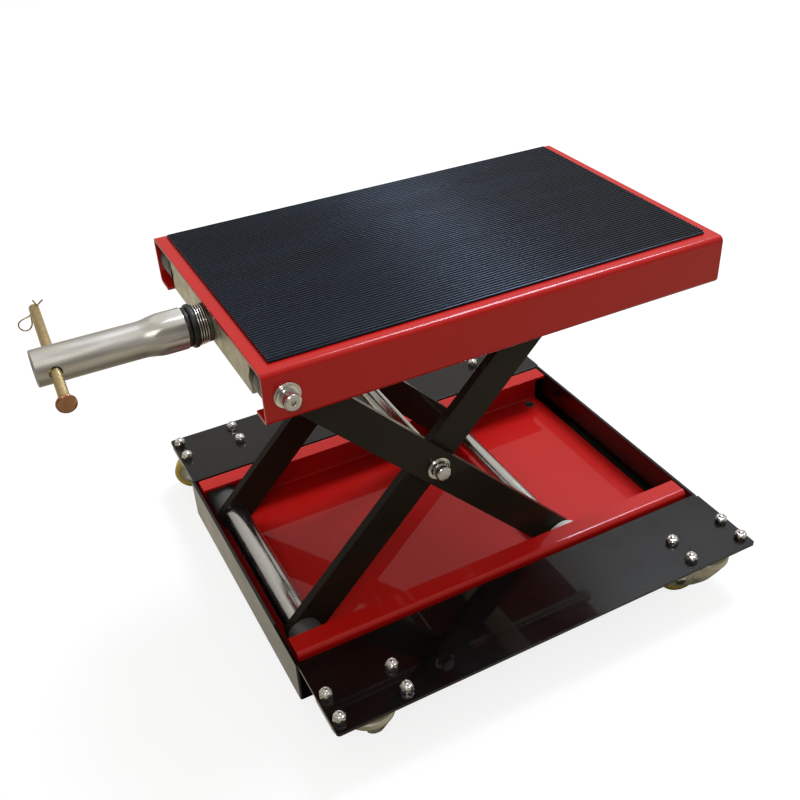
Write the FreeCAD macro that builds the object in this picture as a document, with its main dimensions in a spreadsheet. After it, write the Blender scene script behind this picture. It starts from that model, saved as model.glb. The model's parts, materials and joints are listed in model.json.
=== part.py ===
import FreeCAD, Part
import math
import os
import re
import Sketcher
from FreeCAD import Placement, Rotation, Vector

# Screw-driven scissor lift jack on a four-caster dolly. Millimetres, +Z up.
# Origin: on the floor, under the middle of the deck. X runs along the lead screw, with the drive
# sleeve at -X; Y runs along the pivot shafts, front at -Y. The arms stand at their rest angle.

SIZES = [
    # deck
    ("deck_length", 400, "deck channel along X"),
    ("deck_width", 252, "deck channel along Y"),
    ("deck_height", 42, "deck flange height"),
    ("channel_sheet", 3, "sheet of deck and base channels"),
    ("channel_lip", 20, "inward lip of each flange, overall"),
    ("bend_radius", 5, "outside bend radius of the channels"),
    ("deck_pivot_depth", 21, "deck pivot below the deck's top face"),
    ("mat_length", 379, "rubber mat along X"),
    ("mat_width", 233.5, "rubber mat along Y"),
    ("mat_thickness", 3, "rubber mat"),
    ("mat_shift_y", 2.75, "mat sits this far towards the rear"),
    # scissor
    ("pivot_x", -183, "fixed pivots of base and deck"),
    ("base_pivot_z", 35.2, "fixed base pivot above the floor"),
    ("arm_reach", 368, "arm, end pivot to end pivot"),
    ("rest_angle", 45.8, "arm angle above the horizontal, degrees"),
    ("arm_width", 30, "flat bar width"),
    ("arm_thickness", 8, "flat bar thickness"),
    ("inner_face", 81.5, "inner arm's inner face from the middle"),
    ("outer_face", 92, "outer arm's inner face from the middle"),
    ("pin_radius", 6.5, "turned pivot ends"),
    ("shaft_radius", 8, "centre shaft and roller shaft between the arms"),
    ("tie_radius", 13, "tie tube between the inner arms' lower ends"),
    ("running_gap", 0.05, "radial clearance of a running fit"),
    ("side_gap", 0.1, "axial clearance between neighbours"),
    ("spacer_radius", 15, "spacers beside the fixed pivots"),
    ("base_roller_radius", 17.8, "rollers in the base channel"),
    ("deck_roller_radius", 17.8, "rollers under the deck"),
    ("clip_radius", 10.2, "retaining clips, outside"),
    ("clip_thickness", 1.4, "retaining clips"),
    ("groove_radius", 5.4, "clip grooves in the pivot ends"),
    ("tip_chamfer", 1, "chamfer of the pivot ends"),
    ("nut_tip", 0.5, "plain end beyond the travelling nut's groove"),
    ("nut_roller_length", 13.2, "room for a deck roller beside the inner arm"),
    ("base_clip_room", 4.2, "roller shaft's groove inside the base flange"),
    ("centre_shaft_end", 110.5, "centre shaft, half length"),
    ("deck_pivot_end", 137.5, "deck pivot, half length"),
    # base channel and dolly frame
    ("base_length", 400, "base channel along X"),
    ("base_width", 258, "base channel along Y"),
    ("base_height", 42, "base channel flange height"),
    ("base_shift_x", -3, "base channel's middle"),
    ("frame_length", 413.4, "angle ring along X"),
    ("frame_width", 271.8, "angle ring along Y"),
    ("frame_height", 41.1, "angle ring's upright leg"),
    ("frame_wall", 2.7, "angle ring's wall"),
    ("frame_ledge", 25, "angle ring's flat leg, inward"),
    ("ledge_thickness", 3, "angle ring's flat leg"),
    ("frame_bottom", 11.2, "angle ring above the floor"),
    ("frame_shift_x", -1.3, "angle ring's middle"),
    ("frame_corner", 2, "angle ring's corner radius"),
    ("screw_x", 183, "base screws along X"),
    ("screw_y", 116, "base screws along Y"),
    ("wing_length", 413, "caster plates' carrier along X"),
    ("wing_outer", 212, "wing plate's outer edge from the middle"),
    ("wing_thickness", 3, "wing plate"),
    ("wing_corner", 3, "wing plate's outer corners"),
    ("screw_nut", 5, "base screws' nuts"),
    # casters
    ("caster_x", 170.6, "caster pattern centre along X"),
    ("caster_y", 187.7, "caster pattern centre along Y"),
    ("bolt_pitch_x", 57.15, "caster bolts along X"),
    ("bolt_pitch_y", 25.4, "caster bolts along Y"),
    ("plate_length", 72, "caster top plate along X"),
    ("plate_width", 42, "caster top plate along Y"),
    ("plate_thickness", 2.5, "caster top plate"),
    ("race_radius", 18, "caster ball race"),
    ("crown_radius", 22, "fork crown"),
    ("crown_top", 41, "fork crown's top above the floor"),
    ("fork_sheet", 2.2, "fork legs"),
    ("crown_thickness", 3, "fork crown"),
    ("kingpin_radius", 4, "swivel rivet"),
    ("wheel_radius", 18, "caster wheel"),
    ("wheel_width", 16, "caster wheel"),
    ("wheel_trail", 24, "wheel axle behind the swivel axis"),
    ("axle_radius", 3, "caster axle"),
    ("bolt_radius", 3, "caster bolts and base screws"),
    ("nut_radius", 5.77, "hexagons of bolts and nuts, corner radius"),
    ("bolt_head", 4, "caster bolts' heads"),
    ("nut_height", 5, "caster nuts' hexagons"),
    ("nut_collar", 1.6, "caster nuts' round collars"),
    ("nut_collar_radius", 4.7, "caster nuts' round collars"),
    ("bolt_stud", 1, "bolt end above its nut"),
    ("rivet_lip", 2.5, "swivel rivet's head beyond its shank"),
    ("rivet_head", 2, "swivel rivet's head"),
    ("fork_gap", 1, "between fork leg and wheel"),
    ("fork_eye", 7, "fork leg around the axle"),
    ("tread_bevel", 1.6, "caster wheel's edge, inward"),
    ("tread_round", 3.5, "caster wheel's edge, along the axle"),
    ("axle_head", 1.5, "axle heads"),
    ("front_left_swivel", 36, "direction of the wheel's trail, degrees"),
    ("front_right_swivel", 160, "direction of the wheel's trail, degrees"),
    ("rear_left_swivel", 155, "direction of the wheel's trail, degrees"),
    ("rear_right_swivel", 200, "direction of the wheel's trail, degrees"),
    # screw drive
    ("block_side", 28, "square of thrust block and travelling nut"),
    ("screw_radius", 8, "lead screw, outside the thread"),
    ("screw_gap", 0.1, "radial gap around the lead screw"),
    ("screw_end", 197, "lead screw's free end along X"),
    ("plug_radius", 13, "screw's head inside the sleeve"),
    ("plug_length", 22, "screw's head inside the sleeve"),
    ("screw_chamfer", 2, "lead screw's free end"),
    ("sleeve_inner_end", -216, "drive sleeve's end beside the thrust stack"),
    ("sleeve_outer_end", -327, "drive sleeve's open end"),
    ("sleeve_radius", 14, "drive sleeve's outside"),
    ("sleeve_wall", 2.5, "drive sleeve's wall"),
    ("swage_radius", 16.2, "drive sleeve's widened end"),
    ("swage_start", -249, "where the sleeve begins to widen"),
    ("swage_stop", -235, "where the sleeve has widened"),
    ("collar_radius", 15.6, "black collar next to the sleeve"),
    ("collar_width", 3.6, "black collar"),
    ("ring_radius", 17.2, "black thrust ring"),
    ("ring_width", 4.4, "black thrust ring"),
    ("spring_radius", 16.3, "disc springs"),
    ("spring_pitch", 2, "disc springs, along the screw"),
    ("bush_radius", 15.5, "bush between springs and thrust block"),
    ("bar_x", -313, "tommy bar along X"),
    ("bar_lean", 2.5, "tommy bar's slack turn in its holes, degrees"),
    ("bar_radius", 4, "tommy bar"),
    ("bar_hole", 5, "tommy bar's holes in the sleeve"),
    ("bar_head", 7.4, "tommy bar's head"),
    ("bar_head_length", 2.6, "tommy bar's head"),
    ("bar_near", 59, "tommy bar's head end from the screw axis"),
    ("bar_far", 94, "tommy bar's far end from the screw axis"),
    ("split_wire", 0.6, "split pin, one leg's radius"),
    ("split_ring", 4.6, "split pin's eye, to the wire's middle"),
    ("split_eye", 14.4, "split pin's eye, middle from the bar's axis"),
    ("split_inset", 3.2, "split pin's hole from the bar's far end"),
    ("split_turn", 219.7, "split pin's eye, turned from straight up about Y, degrees"),
    ("split_start", 4.6, "where the split pin's legs part, from the bar's axis"),
    ("long_leg", 6.5, "split pin's longer bent leg"),
    ("long_leg_bend", 16.2, "longer leg's bend from the straight, degrees"),
    ("short_leg", 5.5, "split pin's shorter bent leg"),
    ("short_leg_bend", 60.6, "shorter leg's bend from the straight, degrees"),
]
ALIASES = {alias for alias, _, _ in SIZES}

FAR_X = "(pivot_x + arm_reach * cos(rest_angle))"
MIDDLE_X = "(pivot_x + arm_reach * cos(rest_angle) / 2)"
HIGH_Z = "(base_pivot_z + arm_reach * sin(rest_angle))"
MIDDLE_Z = "(base_pivot_z + arm_reach * sin(rest_angle) / 2)"
DECK_TOP = f"({HIGH_Z} + deck_pivot_depth)"
INNER_OUTSIDE = "(inner_face + arm_thickness)"
OUTER_OUTSIDE = "(outer_face + arm_thickness)"
FRAME_TOP = "(frame_bottom + frame_height)"
BASE_BOTTOM = "(frame_bottom + ledge_thickness)"
WING_BOTTOM = f"({FRAME_TOP} - wing_thickness)"
PLATE_BOTTOM = f"({WING_BOTTOM} - plate_thickness)"
BLOCK_FACE = "(pivot_x - block_side / 2)"
BORE_RADIUS = "(pin_radius + running_gap)"
SIDES = (("front", -1), ("rear", 1))

doc = FreeCAD.newDocument("ScissorJack")
sheet = doc.addObject("Spreadsheet::Sheet", "Sizes")
for row, (alias, size, meaning) in enumerate(SIZES, start=1):
    sheet.set(f"A{row}", meaning)
    sheet.set(f"B{row}", str(size))
    sheet.setAlias(f"B{row}", alias)
doc.recompute()
nodes = []


# ---- tools ----

def bound(expression):
    """The expression with the sheet's name before each alias."""
    return re.sub("[a-z_]+", lambda word: f"Sizes.{word[0]}" if word[0] in ALIASES else word[0], expression)


def bind(thing, **properties):
    for name, expression in properties.items():
        thing.setExpression(name.replace("__", "."), bound(expression))


def place(thing, position, axis=Vector(0, 0, 1), angle=None):
    """Turn a piece about an axis through its own origin, then put that origin at a position."""
    thing.Placement = Placement(Vector(0, 0, 0), Rotation(axis, 1 if angle else 0))
    if angle:
        bind(thing, Placement__Rotation__Angle=angle)
    for letter, expression in zip("xyz", position):
        thing.setExpression(f"Placement.Base.{letter}", bound(expression))


def node(thing, label):
    thing.Label = label
    nodes.append(thing)
    return thing


def body_named(label):
    return node(doc.addObject("PartDesign::Body", label), label)


def new_sketch(body, name, role):
    sketch = body.newObject("Sketcher::SketchObject", name)
    plane = next(feature for feature in body.Origin.OriginFeatures if feature.Role == role)
    sketch.AttachmentSupport = [(plane, "")]
    sketch.MapMode = "FlatFace"
    return sketch


def hold(sketch, edge, point, start, position):
    """Tie one point of the sketch to the sheet by its distances from the origin."""
    for kind, first, expression in zip(("DistanceX", "DistanceY"), start, position):
        index = sketch.addConstraint(Sketcher.Constraint(kind, -1, 1, edge, point, first))
        sketch.setExpression(f"Constraints[{index}]", bound(expression))


def polygon(body, name, role, corners):
    sketch = new_sketch(body, name, role)
    count = len(corners)
    turns = [2 * math.pi * index / count for index in range(count)]
    starts = [Vector(math.cos(turn), math.sin(turn), 0) for turn in turns]
    for index in range(count):
        sketch.addGeometry(Part.LineSegment(starts[index], starts[(index + 1) % count]), False)
    for index in range(count):
        sketch.addConstraint(Sketcher.Constraint("Coincident", index, 2, (index + 1) % count, 1))
    for index, corner in enumerate(corners):
        hold(sketch, index, 1, starts[index], corner)
    return sketch


def circles(body, name, role, centres, radius):
    sketch = new_sketch(body, name, role)
    for index, centre in enumerate(centres):
        start = Vector(10 * index, 10, 0)
        sketch.addGeometry(Part.Circle(start, Vector(0, 0, 1), 1), False)
        hold(sketch, index, 3, start, centre)
        constraint = sketch.addConstraint(Sketcher.Constraint("Radius", index, 1))
        sketch.setExpression(f"Constraints[{constraint}]", bound(radius))
    return sketch


def pad(body, profile, length, both_ways=True):
    feature = body.newObject("PartDesign::Pad", "Pad")
    feature.Profile = profile
    feature.SideType = "Symmetric" if both_ways else "One side"
    bind(feature, Length=length)
    doc.recompute()
    return feature


def drill(body, profile):
    """Cut a sketch right through the body, both ways."""
    before = body.Shape.Volume
    feature = body.newObject("PartDesign::Pocket", "Pocket")
    feature.Profile = profile
    feature.Type = "ThroughAll"
    feature.SideType = "Symmetric"
    doc.recompute()
    if body.Shape.Volume >= before:
        raise RuntimeError(f"{body.Label}: a pocket cut nothing")
    return feature


def round_edges(body, base, radius, chosen):
    names = [f"Edge{number}" for number, edge in enumerate(base.Shape.Edges, start=1) if chosen(edge)]
    feature = body.newObject("PartDesign::Fillet", "Fillet")
    feature.Base = (base, names)
    bind(feature, Radius=radius)
    body.Tip = feature
    doc.recompute()
    return feature


def runs_along(axis):
    """Chooses straight edges parallel to an axis."""
    return lambda edge: (
        len(edge.Vertexes) == 2 and abs(edge.tangentAt(edge.FirstParameter).dot(axis)) > 0.999
    )


def bend_at(distance):
    """Chooses edges along X that lie this far from the middle plane, on either side."""
    along = runs_along(Vector(1, 0, 0))
    return lambda edge: along(edge) and abs(abs(edge.BoundBox.YMax) - distance) < 0.01


def turned(label, outline, position, axis="Y", swivel=None):
    """A lathe-turned piece: outline corners are (station along the axis, radius)."""
    body = body_named(label)
    profile = polygon(body, "Outline", "XY_Plane", outline)
    feature = body.newObject("PartDesign::Revolution", "Turned")
    feature.Profile = profile
    feature.ReferenceAxis = (profile, ["H_Axis"])
    feature.Angle = 360
    doc.recompute()
    if axis == "X":
        place(body, position)
    elif axis == "Z":
        place(body, position, Vector(0, -1, 0), "90")
    else:
        place(body, position, Vector(0, 0, 1), f"90 + {swivel}" if swivel else "90")
    return body


def ring_outline(near, far, inner, outer):
    return [(near, inner), (far, inner), (far, outer), (near, outer)]


def shaft_outline(steps):
    """A whole shaft from the steps of its positive half, each (station, radius)."""
    last = steps[-1][0]
    left = [(f"-({station})", radius) for station, radius in reversed(steps)]
    return [(f"-({last})", "0 * pin_radius")] + left + list(steps) + [(last, "0 * pin_radius")]


def grooved_end(groove, end):
    """A pivot end: a clip groove, then a chamfered tip."""
    groove_end = f"{groove} + clip_thickness + 2 * running_gap"
    return [
        (groove, "pin_radius"),
        (groove, "groove_radius"),
        (groove_end, "groove_radius"),
        (groove_end, "pin_radius"),
        (f"{end} - tip_chamfer", "pin_radius"),
        (end, "pin_radius - tip_chamfer"),
    ]


def box(size, corner):
    piece = doc.addObject("Part::Box", "Box")
    bind(piece, Length=size[0], Width=size[1], Height=size[2])
    place(piece, corner)
    return piece


def cylinder(radius, length, start, axis="Z"):
    piece = doc.addObject("Part::Cylinder", "Cylinder")
    bind(piece, Radius=radius, Height=length)
    turn = {"X": Vector(0, 1, 0), "Y": Vector(-1, 0, 0), "Z": Vector(0, 0, 1)}[axis]
    place(piece, start, turn, None if axis == "Z" else "90")
    return piece


def hexagon(radius, height, start):
    piece = doc.addObject("Part::Prism", "Hexagon")
    piece.Polygon = 6
    bind(piece, Circumradius=radius, Height=height)
    place(piece, start)
    return piece


def group(pieces, name="Group"):
    """Separate solids held in one object."""
    compound = doc.addObject("Part::Compound", name)
    compound.Links = pieces
    return compound


def join(pieces, name="Joined"):
    fusion = doc.addObject("Part::MultiFuse", name)
    fusion.Shapes = pieces
    return fusion


def cut(base, tools, name="Cut"):
    difference = doc.addObject("Part::Cut", name)
    difference.Base = base
    difference.Tool = tools[0] if len(tools) == 1 else join(tools, "Tools")
    return difference


def start_of(sign, near, far):
    """Lower end along Y of a stretch from near to far, on the side that the sign gives."""
    return near if sign > 0 else f"-({far})"


# ---- deck ----

def lipped_channel(label, length, width, height, pivot_drop, position, opens_down):
    """A C channel along X whose web lies at local zero and whose flanges end in inward lips."""
    body = body_named(label)
    up = "-" if opens_down else ""
    half = f"{width} / 2"
    inside = f"{half} - channel_sheet"
    lip_edge = f"{half} - channel_lip"
    tip = f"{up}{height}"
    lip_face = f"{up}({height} - channel_sheet)"
    right = [
        (half, "0 * channel_sheet"),
        (half, tip),
        (lip_edge, tip),
        (lip_edge, lip_face),
        (inside, lip_face),
        (inside, f"{up}channel_sheet"),
    ]
    left = [(f"-({y})", z) for y, z in reversed(right)]
    blank = pad(body, polygon(body, "Section", "YZ_Plane", right + left), length)
    outer = body.Shape.BoundBox.YMax
    inner = outer - float(sheet.get("channel_sheet"))
    outside = round_edges(body, blank, "bend_radius", bend_at(outer))
    round_edges(body, outside, "bend_radius - channel_sheet", bend_at(inner))
    pivots = [("pivot_x - " + position[0], f"{up}{pivot_drop}")]
    drill(body, circles(body, "Pivots", "XZ_Plane", pivots, BORE_RADIUS))
    place(body, position)
    return body


def deck():
    lipped_channel("deck_channel", "deck_length", "deck_width", "deck_height", "deck_pivot_depth",
                   ("0 * deck_length", "0 * deck_length", DECK_TOP), opens_down=True)
    mat = body_named("deck_mat")
    half_x = "mat_length / 2"
    half_y = "mat_width / 2"
    corners = [
        (f"-{half_x}", f"-{half_y}"),
        (half_x, f"-{half_y}"),
        (half_x, half_y),
        (f"-{half_x}", half_y),
    ]
    blank = pad(mat, polygon(mat, "Outline", "XY_Plane", corners), "mat_thickness", both_ways=False)
    round_edges(mat, blank, "mat_thickness", runs_along(Vector(0, 0, 1)))
    place(mat, ("0 * mat_length", "mat_shift_y", DECK_TOP))


# ---- arms and their shafts ----

def arm(label, sign, face, angle):
    """A flat bar with round ends and three pivot holes, leaning at an angle about its middle."""
    body = body_named(label)
    half_x = "(arm_reach + arm_width) / 2"
    half_z = "arm_width / 2"
    corners = [
        (f"-{half_x}", f"-{half_z}"),
        (half_x, f"-{half_z}"),
        (half_x, half_z),
        (f"-{half_x}", half_z),
    ]
    blank = pad(body, polygon(body, "Outline", "XZ_Plane", corners), "arm_thickness")
    round_edges(body, blank, "arm_width / 2 - running_gap", runs_along(Vector(0, 1, 0)))
    zero = "0 * arm_reach"
    centres = [("-arm_reach / 2", zero), (zero, zero), ("arm_reach / 2", zero)]
    drill(body, circles(body, "Pivots", "XZ_Plane", centres, BORE_RADIUS))
    middle = f"({face} + arm_thickness / 2)"
    place(body, (MIDDLE_X, middle if sign > 0 else f"-{middle}", MIDDLE_Z), Vector(0, -1, 0), angle)


def clip(sign, groove, x, z):
    """A flat retaining clip, open downwards, lying in a shaft's groove."""
    near = f"{groove} + running_gap"
    start = start_of(sign, near, f"{near} + clip_thickness")
    disc = cylinder("clip_radius", "clip_thickness", (x, start, z), "Y")
    seat = cylinder("groove_radius + running_gap", "clip_thickness", (x, start, z), "Y")
    slot = box(("groove_radius * 1.6", "clip_thickness", "clip_radius"),
               (f"{x} - groove_radius * 0.8", start, f"{z} - clip_radius"))
    return cut(disc, [seat, slot], "Clip")


def clip_pair(label, groove, x, z):
    pieces = [clip(sign, groove, x, z) for _, sign in SIDES]
    node(group(pieces, label), label)


def side_ring(label, sign, near, far, radius, x, z, bore=BORE_RADIUS):
    """A ring on a pivot end, from near to far along Y on one side."""
    outline = ring_outline("0 * pin_radius", f"{far} - ({near})", bore, radius)
    return turned(label, outline, (x, start_of(sign, near, far), z))


def washer_pair(label, near, far, radius, x, z):
    pieces = []
    for _, sign in SIDES:
        start = start_of(sign, near, far)
        disc = cylinder(radius, f"{far} - ({near})", (x, start, z), "Y")
        hole = cylinder(BORE_RADIUS, f"{far} - ({near})", (x, start, z), "Y")
        pieces.append(cut(disc, [hole], "Washer"))
    node(group(pieces, label), label)


def fixed_base_pivot():
    """Through shaft held by the base channel, with spacers and a tie tube between the arms."""
    wall = "base_width / 2"
    groove = f"{wall} + running_gap"
    end = f"{groove} + clip_thickness + 1.4 * tip_chamfer"
    turned("lower_pivot_shaft", shaft_outline(grooved_end(groove, end)),
           ("pivot_x", "0 * pivot_x", "base_pivot_z"))
    clip_pair("lower_pivot_clips", groove, "pivot_x", "base_pivot_z")
    for side, sign in SIDES:
        side_ring(f"lower_pivot_spacer_{side}", sign, f"{INNER_OUTSIDE} + side_gap",
                  f"{wall} - channel_sheet - side_gap", "spacer_radius", "pivot_x", "base_pivot_z")
    tube = ring_outline("-inner_face", "inner_face", BORE_RADIUS, "tie_radius")
    turned("lower_tie_tube", tube, ("pivot_x", "0 * pivot_x", "base_pivot_z"))


def centre_pivot():
    steps = [("inner_face", "shaft_radius"), ("inner_face", "pin_radius")]
    groove = f"{OUTER_OUTSIDE} + side_gap"
    steps += grooved_end(groove, "centre_shaft_end")
    turned("centre_shaft", shaft_outline(steps), (MIDDLE_X, "0 * pivot_x", MIDDLE_Z))
    clip_pair("centre_clips", groove, MIDDLE_X, MIDDLE_Z)
    washer_pair("centre_washers", f"{INNER_OUTSIDE} + running_gap", "outer_face - running_gap",
                "clip_radius", MIDDLE_X, MIDDLE_Z)


def base_rollers():
    """Shaft across the outer arms' lower ends, with a roller in each rail of the base channel."""
    near = f"{OUTER_OUTSIDE} + side_gap"
    groove = "base_width / 2 - channel_sheet - base_clip_room"
    steps = [("outer_face", "shaft_radius"), ("outer_face", "pin_radius")]
    steps += grooved_end(groove, f"{groove} + 2 * clip_thickness")
    turned("roller_shaft", shaft_outline(steps), (FAR_X, "0 * pivot_x", "base_pivot_z"))
    clip_pair("roller_shaft_clips", groove, FAR_X, "base_pivot_z")
    for side, sign in SIDES:
        side_ring(f"base_roller_{side}", sign, near, f"{groove} - side_gap",
                  "base_roller_radius", FAR_X, "base_pivot_z")


def square_bar_with_ends(label, half, steps, x):
    """Square bar along Y, bored for the lead screw, with turned pivot ends."""
    side = "block_side"
    bar = box((side, f"2 * ({half})", side), (f"{x} - {side} / 2", f"-({half})", f"{HIGH_Z} - {side} / 2"))
    ends = doc.addObject("PartDesign::Body", f"{label}_ends")
    profile = polygon(ends, "Outline", "XY_Plane", shaft_outline(steps))
    feature = ends.newObject("PartDesign::Revolution", "Turned")
    feature.Profile = profile
    feature.ReferenceAxis = (profile, ["H_Axis"])
    place(ends, (x, "0 * pivot_x", HIGH_Z), Vector(0, 0, 1), "90")
    corner = (f"{x} - {side}", "0 * pivot_x", HIGH_Z)
    hole = cylinder("screw_radius + screw_gap", f"2 * {side}", corner, "X")
    node(cut(join([bar, ends]), [hole], label), label)


def thrust_block():
    """Cross bar that carries the screw's thrust; its turned ends are the deck's fixed pivots."""
    half = "outer_face - side_gap"
    flange = "deck_width / 2"
    groove = f"{flange} + running_gap"
    steps = grooved_end(groove, "deck_pivot_end")
    square_bar_with_ends("thrust_block", half, steps, "pivot_x")
    clip_pair("deck_pivot_clips", groove, "pivot_x", HIGH_Z)
    for side, sign in SIDES:
        side_ring(f"deck_pivot_spacer_{side}", sign, f"{OUTER_OUTSIDE} + side_gap",
                  f"{flange} - channel_sheet - side_gap", "spacer_radius", "pivot_x", HIGH_Z)


def travelling_nut():
    """Cross bar on the lead screw that pulls the inner arms' upper ends, with a roller at each end."""
    half = "inner_face - side_gap"
    groove = f"{INNER_OUTSIDE} + nut_roller_length"
    groove_end = f"{groove} + clip_thickness + 2 * running_gap"
    steps = [
        (groove, "pin_radius"),
        (groove, "groove_radius"),
        (groove_end, "groove_radius"),
        (groove_end, "pin_radius"),
        (f"{groove_end} + nut_tip", "pin_radius"),
    ]
    square_bar_with_ends("travelling_nut", half, steps, FAR_X)
    clip_pair("travelling_nut_clips", groove, FAR_X, HIGH_Z)
    for side, sign in SIDES:
        side_ring(f"deck_roller_{side}", sign, f"{INNER_OUTSIDE} + side_gap", f"{groove} - side_gap",
                  "deck_roller_radius", FAR_X, HIGH_Z)


# ---- screw drive ----

def screw_drive():
    axis = ("0 * pivot_x", "0 * pivot_x", HIGH_Z)
    plug_end = "sleeve_inner_end - plug_length"
    screw = [
        (plug_end, "0 * screw_radius"),
        (plug_end, "plug_radius"),
        ("sleeve_inner_end", "plug_radius"),
        ("sleeve_inner_end", "screw_radius"),
        ("screw_end - screw_chamfer", "screw_radius"),
        ("screw_end", "screw_radius - screw_chamfer"),
        ("screw_end", "0 * screw_radius"),
    ]
    turned("lead_screw", screw, axis, "X")
    bore = "sleeve_radius - sleeve_wall"
    wide_bore = "plug_radius + running_gap"
    sleeve = [
        ("sleeve_outer_end", bore),
        ("swage_start", bore),
        (f"{plug_end} - 1", wide_bore),
        ("sleeve_inner_end", wide_bore),
        ("sleeve_inner_end", "swage_radius"),
        ("swage_stop", "swage_radius"),
        ("swage_start", "sleeve_radius"),
        ("sleeve_outer_end", "sleeve_radius"),
    ]
    tube = turned("sleeve_tube", sleeve, axis, "X")
    nodes.remove(tube)
    hole = along_bar(cylinder("bar_hole", "4 * sleeve_radius", bar_point("-2 * sleeve_radius")))
    node(cut(tube, [hole], "drive_sleeve"), "drive_sleeve")
    thrust_stack(axis)


def thrust_stack(axis):
    """Collar and ring that turn with the screw, then disc springs and a bush against the thrust block."""
    bore = "screw_radius + screw_gap"
    collar_end = "(sleeve_inner_end + collar_width)"
    ring_end = f"({collar_end} + ring_width)"
    turned("sleeve_collar", ring_outline("sleeve_inner_end", collar_end, bore, "collar_radius"), axis, "X")
    chamfer = "ring_width / 4"
    ring = [
        (collar_end, bore),
        (ring_end, bore),
        (ring_end, f"ring_radius - {chamfer}"),
        (f"{ring_end} - {chamfer}", "ring_radius"),
        (f"{collar_end} + {chamfer}", "ring_radius"),
        (collar_end, f"ring_radius - {chamfer}"),
    ]
    turned("thrust_ring", ring, axis, "X")
    discs = []
    for index in range(4):
        start = f"({ring_end} + side_gap + {index} * spring_pitch)"
        disc = cylinder("spring_radius", "spring_pitch - side_gap", (start,) + axis[1:], "X")
        hole = cylinder(bore, "spring_pitch - side_gap", (start,) + axis[1:], "X")
        discs.append(cut(disc, [hole], "Disc"))
    node(group(discs, "disc_springs"), "disc_springs")
    stack_end = f"({ring_end} + side_gap + 4 * spring_pitch)"
    turned("thrust_bush", ring_outline(stack_end, BLOCK_FACE, bore, "bush_radius"), axis, "X")


def bar_point(station):
    """A point on the tommy bar's axis, at a distance from the screw's axis."""
    return (f"(bar_x + ({station}) * sin(bar_lean))", f"(({station}) * cos(bar_lean))", HIGH_Z)


def along_bar(piece):
    """Turn a piece that stands along Z until it runs along the tommy bar."""
    lean = math.radians(float(sheet.get("bar_lean")))
    piece.Placement.Rotation = Rotation(Vector(-math.cos(lean), math.sin(lean), 0), 90)
    return piece


def tommy_bar():
    """Sliding bar through the sleeve, with a rivet head at the near end and a split pin at the far one."""
    shank = along_bar(cylinder("bar_radius", "bar_near + bar_far", bar_point("-bar_near")))
    head = along_bar(cylinder("bar_head", "bar_head_length", bar_point("-bar_near")))
    hole = wire("Hole", "-2 * bar_radius", "4 * bar_radius", "split_turn", "2 * split_wire + running_gap")
    node(cut(join([shank, head]), [hole], "tommy_bar"), "tommy_bar")
    split_pin()


def split_point(along):
    """A point on the split pin's axis, at a distance from the bar's axis towards the eye."""
    x, y, z = bar_point("bar_far - split_inset")
    return (f"{x} + ({along}) * sin(split_turn)", y, f"{z} + ({along}) * cos(split_turn)")


def wire(name, along, length, turn, radius):
    """A straight rod in the split pin's plane; its turn is about Y from straight up."""
    rod = doc.addObject("Part::Cylinder", name)
    bind(rod, Radius=radius, Height=length)
    place(rod, split_point(along), Vector(0, 1, 0), turn)
    return rod


def split_pin():
    """Split pin through the bar's end: an eye hangs on one side and the legs part on the other."""
    shank_length = "split_start + split_eye - split_ring"
    shank = wire("Shank", "-split_start", shank_length, "split_turn", "2 * split_wire")
    eye = doc.addObject("Part::Torus", "Eye")
    bind(eye, Radius1="split_ring", Radius2="split_wire")
    place(eye, split_point("split_eye"), Vector(1, 0, 0), "90")
    start = "split_wire - split_start"
    long_leg = wire("Leg", start, "long_leg", "split_turn - 180 + long_leg_bend", "split_wire")
    short_leg = wire("Leg", start, "short_leg", "split_turn - 180 - short_leg_bend", "split_wire")
    node(join([shank, eye, long_leg, short_leg], "split_pin"), "split_pin")


# ---- base and dolly ----

def base():
    lipped_channel("base_blank", "base_length", "base_width", "base_height",
                   f"(base_pivot_z - {BASE_BOTTOM})", ("base_shift_x", "0 * base_shift_x", BASE_BOTTOM),
                   opens_down=False)
    blank = nodes.pop()
    sinks = []
    screws = []
    for x in ("-screw_x", "screw_x"):
        for y in ("-screw_y", "screw_y"):
            sinks.append(countersink(x, y, "side_gap", 0))
            head = countersink(x, y, "0 * side_gap", 1)
            nut = hexagon("nut_radius", "screw_nut", (x, y, "frame_bottom - screw_nut"))
            thread = cylinder("bolt_radius", "screw_nut", (x, y, "frame_bottom - screw_nut"))
            screws.append(join([head, cut(nut, [thread]), thread], "Screw"))
    node(cut(blank, sinks, "base_channel"), "base_channel")
    node(group(screws, "base_screws"), "base_screws")


def countersink(x, y, gap, shank):
    """A flush screw's head in the base sheet, grown by a gap; with its shank through the ledge if asked."""
    cone = doc.addObject("Part::Cone", "Cone")
    bind(cone, Radius1=f"bolt_radius + {gap}", Radius2=f"2 * bolt_radius + {gap}", Height="channel_sheet")
    place(cone, (x, y, BASE_BOTTOM))
    if not shank:
        return cone
    return join([cone, cylinder("bolt_radius", "ledge_thickness", (x, y, "frame_bottom"))], "Head")


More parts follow.
